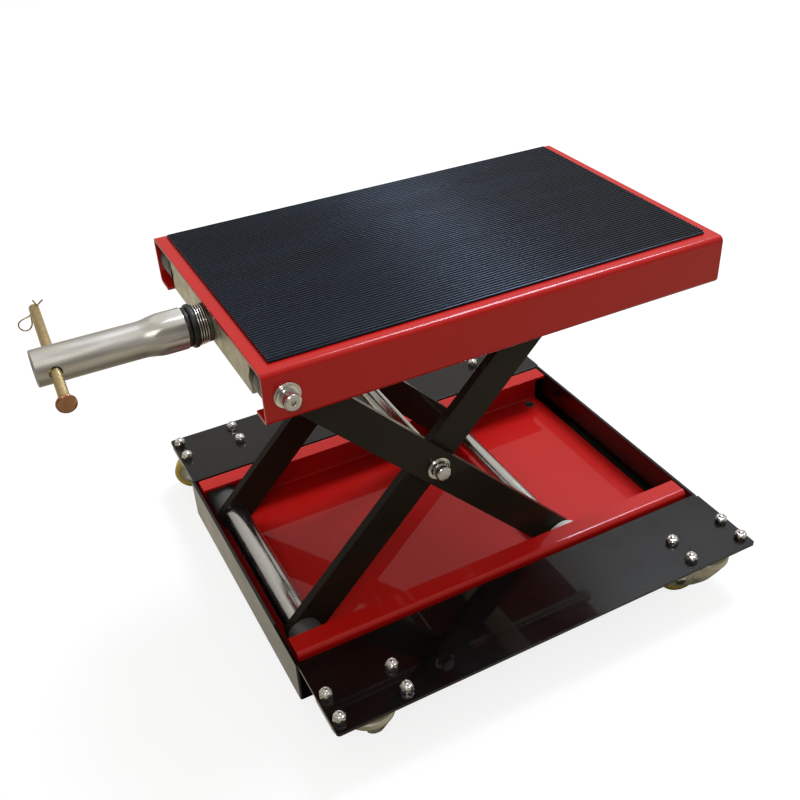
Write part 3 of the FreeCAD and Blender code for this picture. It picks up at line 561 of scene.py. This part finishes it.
def add_prism(shape, outline, near, far, place, bevel=0.0, segments=2):
    """A flat shape given in the place's YZ plane, solid from near to far along its X, rims bevelled."""
    count = len(outline)
    loops = [[shape.verts.new(place @ Vector((x, y, z))) for y, z in outline] for x in (near, far)]
    for index in range(count):
        after = (index + 1) % count
        shape.faces.new([loops[0][index], loops[0][after], loops[1][after], loops[1][index]])
    caps = [shape.faces.new(loops[0][::-1]), shape.faces.new(loops[1])]
    if bevel:
        rims = {edge for cap in caps for edge in cap.edges}
        bmesh.ops.bevel(shape, geom=list(rims), offset=bevel, segments=segments, profile=0.5,
                        affect="EDGES", clamp_overlap=True)


def drilled(thing, *holes):
    """Cut round holes through a piece; each hole is (centre, axis, radius), in metres."""
    for centre, axis, radius in holes:
        outline = [(-DRILL_REACH, 0), (-DRILL_REACH, radius), (DRILL_REACH, radius), (DRILL_REACH, 0)]
        tool = piece_from(lambda shape: add_lathe(shape, outline, basis(centre, axis), 40), "tool",
                          thing.data.materials[0])
        cutter = thing.modifiers.new("hole", "BOOLEAN")
        cutter.operation = "DIFFERENCE"
        cutter.solver = "EXACT"
        cutter.object = tool
        bpy.context.view_layer.update()
        seen = thing.evaluated_get(bpy.context.evaluated_depsgraph_get())
        mesh = bpy.data.meshes.new_from_object(seen)
        thing.modifiers.clear()
        thing.data = mesh
        bpy.data.objects.remove(tool)
        smooth_shading(mesh, 35)
    return thing


def add_wire(shape, path, radius, segments=10):
    """A round wire along a path of spots, closed at both ends."""
    rings = [[path[0]]]
    side = (path[1] - path[0]).orthogonal().normalized()
    for index, spot in enumerate(path):
        before, after = path[max(index - 1, 0)], path[min(index + 1, len(path) - 1)]
        along = (after - before).normalized()
        side = (side - along * side.dot(along)).normalized()
        other = along.cross(side)
        turns = [2 * math.pi * step / segments for step in range(segments)]
        rings.append([spot + (side * math.cos(turn) + other * math.sin(turn)) * radius for turn in turns])
    rings.append([path[-1]])
    skin(shape, rings)


def smooth_path(spots, steps=6):
    """A curve through the spots."""
    ends = [spots[0] * 2 - spots[1]] + list(spots) + [spots[-1] * 2 - spots[-2]]
    path = []
    for a, b, c, d in zip(ends, ends[1:], ends[2:], ends[3:]):
        for step in range(steps):
            t = step / steps
            path.append(0.5 * (b * 2 + (c - a) * t + (a * 2 - b * 5 + c * 4 - d) * t ** 2
                               + (b * 3 - a - c * 3 + d) * t ** 3))
    path.append(spots[-1])
    return path


def refined(node, material, bevel=0.4, segments=2, angle=32):
    """A CAD node's own shape, welded and with its sharp edges softly broken."""
    shape = bmesh.new()
    shape.from_mesh(frame["nodes"][node].data)
    bmesh.ops.remove_doubles(shape, verts=shape.verts, dist=2e-6)
    bmesh.ops.dissolve_limit(shape, angle_limit=math.radians(0.4), verts=shape.verts, edges=shape.edges)
    limit = math.radians(angle)
    sharp = [edge for edge in shape.edges
             if len(edge.link_faces) == 2 and edge.calc_face_angle(0) > limit]
    bmesh.ops.bevel(shape, geom=sharp, offset=bevel * MM, segments=segments, profile=0.5,
                    affect="EDGES", clamp_overlap=True)
    mesh = bpy.data.meshes.new(f"{node}_shape")
    shape.to_mesh(mesh)
    shape.free()
    smooth_shading(mesh, 60)
    thing = bpy.data.objects.new(f"{node}_look", mesh)
    mesh.materials.append(material)
    bpy.context.scene.collection.objects.link(thing)
    even = thing.modifiers.new("even", "WEIGHTED_NORMAL")
    even.keep_sharp = True
    return fit(thing, node)


# ---- sheet metal, mat and arms ----

# One rib of the mat: (share of the pitch, share of the height).
RIB = ((0.10, 0), (0.15, 0.5), (0.20, 0.86), (0.29, 1), (0.47, 1), (0.56, 0.86), (0.61, 0.5), (0.66, 0))


def ribbed_mat():
    """Rubber mat whose top is fine ribs along the deck."""
    low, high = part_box("deck_mat")
    pitch, height, skirt = 3.3 * MM, 1.1 * MM, 0.5 * MM
    lip_width, lip_drop = 0.4 * MM, 0.3 * MM
    valley = high.z - height
    count = int((high.y - low.y - 2 * skirt) / pitch)
    first = (low.y + high.y - count * pitch) / 2
    outline = [(low.y, low.z), (low.y, valley - lip_drop), (low.y + lip_width, valley)]
    outline += [(first + index * pitch + part * pitch, valley + rise * height)
                for index in range(count) for part, rise in RIB]
    outline += [(high.y - lip_width, valley), (high.y, valley - lip_drop), (high.y, low.z)]
    mat = piece_from(lambda shape: add_prism(shape, outline, low.x, high.x, Matrix(), 0.25 * MM, 1),
                     "ribbed_mat", RUBBER, smooth=50)
    fit(mat, "deck_mat")


def sheet_metal():
    """Red channels, black dolly and black arms: the CAD's own shapes with softly broken edges."""
    for node in ("deck_channel", "base_channel"):
        refined(node, RED, bevel=0.5, segments=3)
    for node in ("dolly_frame", "front_wing_plate", "rear_wing_plate"):
        refined(node, GLOSS_BLACK, bevel=0.6, segments=3)
    for side, _ in SIDES:
        for kind in ("inner", "outer"):
            refined(f"{kind}_arm_{side}", SATIN_BLACK, bevel=0.7, segments=3)


def welds():
    """Weld beads that join the wing plates to the angle ring, underneath."""
    count, spacing, radius = 5, 88 * MM, 1.5 * MM
    steps, stride = 24, 1.7 * MM
    ripple, ripple_turn = 0.35 * MM, 1.9
    for side, sign in SIDES:
        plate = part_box(f"{side}_wing_plate")
        wall = plate[0].y if sign > 0 else plate[1].y
        for number in range(count):
            centre = (number - count // 2) * spacing
            spots = [Vector((centre + (step - steps // 2) * stride, wall + sign * 1.2 * MM,
                             plate[0].z - 0.9 * MM)) for step in range(steps + 1)]
            bead = [spot + AXIS_Z * (ripple * math.sin(step * ripple_turn))
                    for step, spot in enumerate(spots)]
            weld = piece_from(lambda shape: add_wire(shape, bead, radius, 8), f"{side}_weld_{number + 1}",
                              GLOSS_BLACK, smooth=70)
            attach(weld, "dolly")


# ---- pivots ----

# Radii and thicknesses on the pivots, in millimetres.
PIN, NECK, PIN_BORE = 6.5, 5.4, 6.6
SHAFT, TIE_TUBE = 8, 13
GROOVE, CLIP_THICKNESS = 1.5, 1.4


def pin_end(near, groove, end, dimple):
    """Half a shaft's outline in millimetres: the clip's neck, the chamfered tip and a centre mark."""
    chamfer = 0.9
    steps = [(near, PIN), (groove, PIN), (groove, NECK), (groove + GROOVE, NECK), (groove + GROOVE, PIN)]
    steps += [(end - chamfer, PIN), (end, PIN - chamfer)]
    steps += [(end, 2.0), (end - 2.4, 1.5), (end - 2.4, 0)] if dimple else [(end, 0)]
    return steps


def groove_of(retainers):
    """Where the clips' groove begins, from the middle, in millimetres."""
    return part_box(retainers)[1].y / MM - (GROOVE + CLIP_THICKNESS) / 2


def shafts():
    """The scissor's three cross shafts and the tube that ties the inner arms together."""
    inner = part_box("inner_arm_rear")[0].y / MM
    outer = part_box("outer_arm_rear")[0].y / MM
    for node, retainers, shoulder in (("lower_pivot_shaft", "lower_pivot_clips", None),
                                      ("centre_shaft", "centre_clips", inner),
                                      ("roller_shaft", "roller_shaft_clips", outer)):
        thick = [(0.1, SHAFT), (shoulder - 0.05, SHAFT)] if shoulder else []
        half = thick + pin_end(shoulder or 0.1, groove_of(retainers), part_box(node)[1].y / MM, False)
        fit(lathe(f"{node}_bar", both_ends(half), middle(node), AXIS_Y, CHROME, 64, 0.15), node)
    tube = mirrored([(0, PIN_BORE), (-inner + 0.1, PIN_BORE), (-inner + 0.1, TIE_TUBE)])
    fit(lathe("lower_tie_bar", tube, middle("lower_tie_tube"), AXIS_Y, CHROME, 64, 0.3), "lower_tie_tube")


def clip_inside(turn):
    """Radius of a clip's inner edge: it grips the neck at its lobes and stands clear between them."""
    clear, lobe, last_lobe = 7.6, 2.15, 2.4
    wave = -math.cos(3 * turn)
    if wave < 0 and abs(math.pi - turn) < last_lobe:
        return clear
    return clear - lobe * (1 - max(0.0, wave) ** 0.6)


def snap_clip(name, node, place):
    """Retaining clip: three lobes on the shaft's neck and an open mouth."""
    gap, count, outer = math.radians(30), 44, 10.1
    turns = [gap + (2 * math.pi - 2 * gap) * step / count for step in range(count + 1)]
    edge = [(outer, turn) for turn in turns] + [(clip_inside(turn), turn) for turn in reversed(turns)]
    loop = [(radius * math.cos(turn), radius * math.sin(turn)) for radius, turn in edge]
    outline = in_metres(rounded_loop(loop, 0.5, 2))
    half = CLIP_THICKNESS / 2 * MM
    clip = piece_from(lambda shape: add_prism(shape, outline, -half, half, place, 0.2 * MM, 2),
                      name, CLIP, smooth=40)
    fit(clip, node)


def clips():
    """Open clips on the scissor's own shafts and closed push-on caps on the deck's pivots."""
    mouth = Vector((0.62, 0, -0.78))
    for node in ("lower_pivot_clips", "centre_clips", "roller_shaft_clips", "travelling_nut_clips"):
        spot = middle(node)
        for side, sign in SIDES:
            origin = Vector((spot.x, sign * (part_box(node)[1].y - CLIP_THICKNESS / 2 * MM), spot.z))
            snap_clip(f"{node}_{side}", node, basis(origin, AXIS_Y * sign, mouth))
    spot = middle("deck_pivot_clips")
    bore = NECK + 0.1
    for side, sign in SIDES:
        face = Vector((spot.x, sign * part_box("deck_channel")[1].y, spot.z))
        cap = [(0.5, bore), (0.05, bore), (0.05, 10), (1.0, 10.1), (1.5, 9.6), (1.2, 8.8), (1.1, 7.6),
               (1.5, bore)]
        fit(lathe(f"deck_pivot_cap_{side}", cap, face, AXIS_Y * sign, CLIP, 64, 0.25), "deck_pivot_clips")


def spacers_and_rollers():
    """Plastic spacers and grooved nylon rollers on the pivots, and washers under the centre clips."""
    for side, sign in SIDES:
        for node in (f"lower_pivot_spacer_{side}", f"deck_pivot_spacer_{side}"):
            half = size(node).y / MM / 2
            outline = ring(-half, half, PIN_BORE, 15)
            fit(lathe(f"{node}_bush", outline, middle(node), AXIS_Y, SPACER, 64, 0.6), node)
        for node in (f"base_roller_{side}", f"deck_roller_{side}"):
            half, big = size(node).y / MM / 2, size(node).x / MM / 2
            outline = mirrored([(0, PIN_BORE), (-half, PIN_BORE), (-half, 10.5), (0.8 - half, 11.2),
                                (0.8 - half, big - 2.4), (-half, big - 1.6), (1.2 - half, big)])
            fit(lathe(f"{node}_wheel", outline, middle(node), AXIS_Y, NYLON, 72, 0.35), node)
        washer = middle("centre_washers")
        face = Vector((washer.x, sign * (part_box("centre_washers")[1].y - 1.2 * MM), washer.z))
        fit(lathe(f"centre_washer_{side}", ring(-1.15, 1.15, PIN_BORE, 10), face, AXIS_Y, ZINC, 48, 0.3),
            "centre_washers")


def cross_bars():
    """Thrust block under the deck's pivots and the travelling nut, each a square bar with turned ends."""
    screw = middle("lead_screw")
    square = rounded_loop(in_metres([(-14, -14), (14, -14), (14, 14), (-14, 14)]), 0.8 * MM, 3)
    for node, retainers, arm, dimple in (
            ("thrust_block", "deck_pivot_clips", "outer_arm_rear", True),
            ("travelling_nut", "travelling_nut_clips", "inner_arm_rear", False)):
        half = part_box(arm)[0].y - 0.1 * MM
        origin = middle(node)
        place = basis(origin, AXIS_Y)
        bar = piece_from(lambda shape: add_prism(shape, square, -half, half, place, 0.6 * MM, 2),
                         f"{node}_bar", DULL)
        drilled(bar, (screw, AXIS_X, SCREW_BORE * MM))
        fit(bar, node)
        near = half / MM - 0.1
        outline = [(near, 0)] + pin_end(near, groove_of(retainers), size(node).y / MM / 2, dimple)
        for side, sign in SIDES:
            pin = lathe(f"{node}_pin_{side}", outline, Vector((origin.x, 0, origin.z)), AXIS_Y * sign,
                        CHROME, 64, 0.15)
            fit(pin, node)


# ---- screw drive ----

# Radii in millimetres: the screw and the bore round it, the tommy bar and its head.
SCREW_RADIUS, SCREW_BORE = 8, 8.1
BAR_RADIUS, HEAD_RADIUS = 4, 7.4
BAR_LEAN = math.radians(2.5)
BAR_AXIS = Vector((math.sin(BAR_LEAN), math.cos(BAR_LEAN), 0))
# The bar's ends, in millimetres along its axis from BAR, where it crosses the screw's axis.
BAR_NEAR = (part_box("tommy_bar")[0].y / MM + HEAD_RADIUS * BAR_AXIS.x) / BAR_AXIS.y
BAR_FAR = (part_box("tommy_bar")[1].y / MM - BAR_RADIUS * BAR_AXIS.x) / BAR_AXIS.y
BAR = Vector((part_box("tommy_bar")[1].x - (BAR_FAR * BAR_AXIS.x + BAR_RADIUS * BAR_AXIS.y) * MM, 0,
              middle("lead_screw").z))
SPLIT_AXIS = Vector((-0.639, 0, -0.769)).normalized()


def lead_screw():
    """Threaded bar with a plain journal through the thrust stack and a head inside the sleeve."""
    start, tip = (corner.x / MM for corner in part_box("lead_screw"))
    origin = Vector((0, middle("lead_screw").y, middle("lead_screw").z))
    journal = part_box("thrust_block")[1].x / MM + 1
    head_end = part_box("drive_sleeve")[1].x / MM - 0.3
    pitch, depth, run_out = 4.0, 1.9, 6

    def thread(station, radius, turn):
        if station < (journal + 1) * MM or radius < (SCREW_RADIUS - 1) * MM:
            return radius
        phase = (station / MM / pitch - turn / (2 * math.pi)) % 1
        flank = min(1.0, max(0.0, 3.2 * abs(phase * 2 - 1) - 0.9))
        fade = min(1.0, (station / MM - journal) / run_out)
        return radius - depth * MM * flank * fade
    outline = [(start, 0), (start, 12.6), (start + 0.4, 13), (head_end, 13), (head_end, SCREW_RADIUS),
               (journal, SCREW_RADIUS)]
    station, chamfer = journal, tip - 1.5
    while station < chamfer:
        outline.append((station, SCREW_RADIUS))
        station += 0.5
    outline += [(chamfer, SCREW_RADIUS), (tip, 6.2), (tip, 0)]
    fit(lathe("lead_screw_thread", outline, origin, AXIS_X, SCREW, 32, trim=thread), "lead_screw")


def hexagon(corner, turn):
    """Distance from a hexagon's middle to its side."""
    return corner * math.cos(math.pi / 6) / math.cos(turn % (math.pi / 3) - math.pi / 6)


def sleeve():
    """Drawn tube with a widened end pressed into six flats, cross-drilled for the tommy bar."""
    start, end = (corner.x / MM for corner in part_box("drive_sleeve"))
    origin = Vector((0, middle("drive_sleeve").y, middle("drive_sleeve").z))
    narrow, wide, bore, wide_bore = 14, 16.2, 11.5, 13.05
    flare, flare_length, steps = end - 34, 18, 12
    outer = [(start, 13.3), (start + 0.7, narrow)]
    for step in range(steps + 1):
        t = step / steps
        outer.append((flare + flare_length * t, narrow + (wide - narrow) * t * t * (3 - 2 * t)))
    outer += [(end - 0.5, wide), (end, 15.7)]
    inner = [(end, wide_bore), (end - 23, wide_bore), (flare - 2, bore), (start + 0.7, bore),
             (start, 12.1)]

    def flats(_, radius, turn):
        return min(radius, hexagon(17.55 * MM, turn + 0.35)) if radius > narrow * MM else radius
    outline = [((start + end) / 2, bore)] + inner[3:] + outer + inner[:3]
    tube = lathe("sleeve_tube", outline, origin, AXIS_X, TUBE, 96, trim=flats)
    drilled(tube, (BAR, BAR_AXIS, 5 * MM))
    fit(tube, "drive_sleeve")


def thrust_stack():
    """Black collar and ring, then thin bright disc springs over a dark core."""
    axis = middle("lead_screw")
    collar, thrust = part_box("sleeve_collar"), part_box("thrust_ring")
    springs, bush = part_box("disc_springs"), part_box("thrust_bush")

    def turned_ring(name, node, near, far, radius, material, soften):
        origin = Vector((near, axis.y, axis.z))
        outline = ring(0, (far - near) / MM, SCREW_BORE, radius)
        fit(lathe(name, outline, origin, AXIS_X, material, 64, soften), node)
    turned_ring("collar", "sleeve_collar", collar[0].x, collar[1].x - 0.3 * MM, 15.4, OXIDE, 0.7)
    turned_ring("bearing_ring", "thrust_ring", thrust[0].x, thrust[1].x, 17.1, OXIDE, 1.4)
    pitch = (springs[1].x - springs[0].x) / 4
    for index, radius in enumerate((16.3, 16.1, 15.9, 15.6)):
        start = springs[0].x + (index + 0.25) * pitch
        turned_ring(f"disc_spring_{index + 1}", "disc_springs", start, start + 0.95 * MM, radius, ZINC,
                    0.35)
    core = lathe("spring_core", ring(0, (bush[0].x - springs[0].x) / MM - 0.1, SCREW_BORE, 14.4),
                 Vector((springs[0].x, axis.y, axis.z)), AXIS_X, OXIDE, 64, 0.3)
    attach(core, "screw")
    turned_ring("bush", "thrust_bush", bush[0].x, bush[1].x, 15.2, DARK_ZINC, 0.5)


def tommy_bar():
    """Bar that slides through the sleeve, bevelled head at its near end and split pin at its far one."""
    shank = [(BAR_NEAR + 0.5, 0), (BAR_NEAR + 0.5, BAR_RADIUS), (BAR_FAR - 1.0, BAR_RADIUS),
             (BAR_FAR, 3.1), (BAR_FAR, 0)]
    hole = BAR + BAR_AXIS * (BAR_FAR - 3.2) * MM
    bar = lathe("tommy_shank", shank, BAR, BAR_AXIS, YELLOW, 48, 0.25)
    fit(drilled(bar, (hole, SPLIT_AXIS, 1.3 * MM)), "tommy_bar")
    end = BAR_NEAR
    head = [(end, 0), (end, 5.9), (end + 0.8, 7.2), (end + 1.9, HEAD_RADIUS), (end + 2.6, 7.0),
            (end + 2.6, 0)]
    fit(lathe("tommy_head", head, BAR, BAR_AXIS, COPPER, 48, 0.2), "tommy_bar")
    across = SPLIT_AXIS.cross(AXIS_Y)
    loop = [(-6.7, -4.8), (-5.2, -2.0), (-4.6, -0.8), (-3.6, -0.62), (0, -0.62), (4.6, -0.66), (6.8, -1.0),
            (10, -3.4), (13.5, -5.2), (16.6, -5.0), (19, -2.4), (19.4, 1.2), (17.4, 4.0), (13.6, 4.6),
            (10, 3.0), (6.9, 0.8), (4.6, 0.62), (0, 0.62), (-4.4, 0.62), (-7, 1.0), (-10.2, 1.9)]
    path = smooth_path([hole + (SPLIT_AXIS * out + across * up) * MM for out, up in loop], 5)
    wire = piece_from(lambda shape: add_wire(shape, path, 0.62 * MM, 12), "split_wire", YELLOW, smooth=60)
    fit(wire, "split_pin")


# ---- fasteners ----

# Millimetres: a hexagon's corner radius, the bolts' radius, and half their spacing on a caster's plate.
HEX_CORNER, BOLT = 5.77, 3.0
BOLT_X, BOLT_Y = 28.575, 12.7
PLATE = 2.5


def hex_trim(corner, applies=lambda station, radius: True):
    """A trim to a hexagon, corner radius in millimetres, where a test of station and radius holds."""
    def trim(station, radius, turn):
        return min(radius, hexagon(corner * MM, turn)) if applies(station, radius) else radius
    return trim


def add_nut(shape, origin, axis, corner, height):
    """A hexagon with its corners turned off; sizes in millimetres."""
    edge, chamfer = corner * math.cos(math.pi / 6) * 0.97, 0.16 * corner
    outline = [(0, 0), (0, edge), (chamfer, corner), (height - chamfer, corner), (height, edge),
               (height, 0)]
    add_lathe(shape, in_metres(outline), basis(origin, axis), 48, hex_trim(corner))


def bolt_spots():
    """The caster bolts' axes, from the four corners' plates."""
    for corner in CORNERS:
        centre = middle(f"{corner}_caster_plate")
        for dx in (-1, 1):
            for dy in (-1, 1):
                yield Vector((centre.x + dx * BOLT_X * MM, centre.y + dy * BOLT_Y * MM, 0))


def caster_fasteners():
    """Lock nuts on the wing plates, hex bolts up through the casters' plates, and nylon inserts."""
    wing_low, wing_top = (corner.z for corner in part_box("front_wing_plate"))
    nut_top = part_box("caster_nuts")[1].z
    plate_low = wing_low - PLATE * MM
    length = (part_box("caster_bolts")[1].z - plate_low) / MM
    flats = 5.0
    nut = [(0, 3.1), (0, 5.0), (0.7, HEX_CORNER), (flats - 0.8, HEX_CORNER), (flats, 4.95),
           (flats + 0.2, 4.75), (flats + 0.9, 4.6), (flats + 1.5, 4.0), (flats + 1.6, 3.6),
           (flats + 1.35, 3.3), (flats + 0.9, 3.1)]
    head = [(0.05, 0), (0.05, 5.6), (0.3, HEX_CORNER), (3.2, HEX_CORNER), (3.9, 4.9), (3.9, 0)]
    shank = [(0, 0), (0, BOLT)]
    shank += [(8 + 0.25 * step, BOLT - 0.22 * (step % 4 > 1)) for step in range(int((length - 9) / 0.25))]
    shank += [(length - 1.3, 2.9), (length - 0.9, 2.4), (length - 0.4, 1.6), (length - 0.1, 0.8),
              (length, 0)]
    insert = rounded(ring(0, 0.9, 3.02, 3.75), 0.15)

    def nuts(shape):
        below_collar = hex_trim(HEX_CORNER, lambda station, radius: station < (flats + 0.1) * MM)
        for number, spot in enumerate(bolt_spots()):
            twist = Vector((math.cos(number * 1.3), math.sin(number * 1.3), 0))
            place = basis(Vector((spot.x, spot.y, wing_top)), AXIS_Z, twist)
            add_lathe(shape, in_metres(nut), place, 48, below_collar)

    def bolts(shape):
        for number, spot in enumerate(bolt_spots()):
            twist = Vector((math.cos(number * 2.1), math.sin(number * 2.1), 0))
            origin = Vector((spot.x, spot.y, plate_low))
            add_lathe(shape, in_metres(head), basis(origin, -AXIS_Z, twist), 48, hex_trim(HEX_CORNER))
            add_lathe(shape, in_metres(shank), basis(origin, AXIS_Z), 24)

    def inserts(shape):
        for spot in bolt_spots():
            origin = Vector((spot.x, spot.y, nut_top - 1.1 * MM))
            add_lathe(shape, in_metres(insert), basis(origin, AXIS_Z), 32)
    fit(piece_from(nuts, "lock_nuts", ZINC, smooth=30), "caster_nuts")
    fit(piece_from(bolts, "hex_bolts", ZINC, smooth=30), "caster_bolts")
    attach(piece_from(inserts, "lock_inserts", NYLON), "dolly")


def base_screws():
    """Flush socket screws in the base sheet, with nuts under the ledge."""
    low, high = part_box("base_screws")
    inset, nut_height = 6 * MM, 5
    outline = [(1.9, 0), (1.9, 1.9), (0.25, 2.1), (0.05, 2.4), (0.05, 5.7), (0.25, 5.85), (3.0, BOLT),
               (10.9, BOLT), (10.9, 0)]
    socket = hex_trim(2.3, lambda station, radius: radius < 2.2 * MM)

    def screws(shape):
        for x in (low.x + inset, high.x - inset):
            for y in (low.y + inset, high.y - inset):
                add_lathe(shape, in_metres(outline), basis(Vector((x, y, high.z)), -AXIS_Z), 36, socket)
                add_nut(shape, Vector((x, y, low.z + nut_height * MM)), -AXIS_Z, HEX_CORNER, nut_height)
    fit(piece_from(screws, "socket_screws", OXIDE, smooth=30), "base_screws")


# ---- casters ----

# Millimetres: half a wheel's width, the gap beside it, and the fork's sheet.
WHEEL_HALF, LEG_GAP, LEG_SHEET = 8, 1, 2.2


def caster_plate(corner):
    """Pressed top plate with its ball race and swivel rivet."""
    node = f"{corner}_caster_plate"
    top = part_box(node)[1].z
    spot = middle(node)
    origin = Vector((spot.x, spot.y, 0))
    half_x, half_y = size(node).x / 2, size(node).y / 2
    corners = [(-half_x, -half_y), (half_x, -half_y), (half_x, half_y), (-half_x, half_y)]
    upright = Matrix.Translation(origin) @ Matrix(
        ((0, 1, 0, 0), (0, 0, 1, 0), (1, 0, 0, 0), (0, 0, 0, 1)))

    def plate(shape):
        add_prism(shape, rounded_loop(corners, 5 * MM, 5), top - PLATE * MM, top - 0.05 * MM, upright,
                  0.5 * MM)
    thing = piece_from(plate, f"{corner}_top_plate", DULL)
    holes = [(Vector((hole.x, hole.y, top)), AXIS_Z, 3.2 * MM) for hole in bolt_spots()
             if abs(hole.x - spot.x) < half_x and abs(hole.y - spot.y) < half_y]
    fit(drilled(thing, *holes), node)
    race_top = top / MM - PLATE
    race = [(race_top, 0), (race_top, 18), (race_top - 0.8, 18), (race_top - 1.8, 17.2),
            (race_top - 2.1, 16.4), (race_top - 2.6, 17.0), (race_top - 4.6, 17.8), (race_top - 5.65, 17.8),
            (race_top - 5.65, 0)]
    fit(lathe(f"{corner}_ball_race", race, origin, AXIS_Z, DULL, 64, 0.4), node)
    under = race_top - 6.9
    rivet = [(race_top - 1, 0), (race_top - 1, 4), (under + 0.1, 4), (under, 6.5), (under - 1.2, 6.2),
             (under - 2, 4), (under - 2, 0)]
    fit(lathe(f"{corner}_swivel_rivet", rivet, origin, AXIS_Z, ZINC, 40, 0.4), node)


def caster_fork(corner):
    """Domed crown with a turned-down rim and two deep pressed legs that reach back to the axle."""
    node = f"{corner}_caster_fork"
    spot = middle(f"{corner}_caster_plate")
    hub = middle(f"{corner}_caster_wheel")
    back = Vector((hub.x - spot.x, hub.y - spot.y, 0))
    trail, axle = back.length / MM, hub.z / MM
    back.normalize()
    origin = Vector((spot.x, spot.y, 0))
    across = AXIS_Z.cross(back)
    crown = [(37.95, 4.1), (40.9, 4.1), (40.9, 19.2), (40.0, 21.2), (38.6, 22.0), (34.6, 22.0),
             (34.6, 20.2), (37.4, 19.6), (37.95, 18.6)]
    fit(lathe(f"{corner}_crown", crown, origin, AXIS_Z, DULL, 64, 0.7), node)
    profile = [(-18.7, 39.2), (18.7, 39.2), (trail + 6.4, axle + 5.2), (trail + 7.0, axle - 2.6),
               (trail + 3.6, axle - 7.0), (trail - 3.6, axle - 7.7), (trail / 2, axle - 8.4),
               (0, axle - 5.6), (-9.9, axle + 2.8), (-18.7, axle + 13.3)]
    leg_outline = in_metres(rounded_loop(profile, 4.5, 5))
    half = LEG_SHEET / 2
    # Pressed bosses on a leg: (way along it, height, radius, rise).
    bosses = ((trail, axle, 6.2, 0.35), (8.4, 18.2, 5.2, 0.6))
    for name, sign in (("left", 1), ("right", -1)):
        face = sign * (WHEEL_HALF + LEG_GAP + half)
        outside = across * sign * (WHEEL_HALF + LEG_GAP + LEG_SHEET) * MM

        def leg(shape):
            place = Matrix.Translation(origin + across * face * MM) @ Matrix(
                (across, back, AXIS_Z)).transposed().to_4x4()
            add_prism(shape, leg_outline, -half * MM, half * MM, place, 0.7 * MM, 3)
            for along, height, radius, rise in bosses:
                stud = origin + back * along * MM + AXIS_Z * height * MM + outside
                dome = [(-0.6, 0), (-0.6, radius), (rise * 0.5, radius - 0.3), (rise, radius - 1.1),
                        (rise, 0)]
                add_lathe(shape, in_metres(dome), basis(stud, across * sign), 40)
        fit(piece_from(leg, f"{corner}_{name}_leg", DULL, smooth=45), node)
    pin = both_ends([(11.4, 3), (11.4, 4.8), (12.6, 4.4), (13.2, 3.4), (13.2, 0)])
    fit(lathe(f"{corner}_axle_rivet", pin, hub, across, ZINC, 40, 0.3), f"{corner}_caster_axle")


def caster_wheel(corner):
    """Cast tread on a moulded hub; the rear left wheel's tread takes a lighter copy of the colour, which is
    painted light.
    """
    node = f"{corner}_caster_wheel"
    spot = middle(f"{corner}_caster_plate")
    hub = middle(node)
    axis = AXIS_Z.cross(Vector((hub.x - spot.x, hub.y - spot.y, 0)))
    tread = mirrored([(0, 11.2), (-6.6, 11.2), (-7.9, 12.4), (-7.9, 15.6), (-6.6, 17.4), (-4.4, 17.95)])
    # The rear left wheel's lighter tread is painted light.
    material = TREAD_PAINTED_LIGHT if corner == "rear_left" else TREAD
    fit(lathe(f"{corner}_tread", tread, hub, axis, material, 72, 0.7), node)
    core = mirrored([(0, 3.1), (-WHEEL_HALF, 3.1), (-WHEEL_HALF, 5.4), (-6.2, 6.0), (-5.6, 9.4),
                     (-6.8, 10.2), (-6.8, 11.3)])
    fit(lathe(f"{corner}_hub", core, hub, axis, HUB, 60, 0.3), node)


# ---- build ----

make_camera()
make_stage()
ribbed_mat()
sheet_metal()
welds()
shafts()
clips()
spacers_and_rollers()
cross_bars()
lead_screw()
sleeve()
thrust_stack()
tommy_bar()
caster_fasteners()
base_screws()
for corner in CORNERS:
    caster_plate(corner)
    caster_fork(corner)
    caster_wheel(corner)
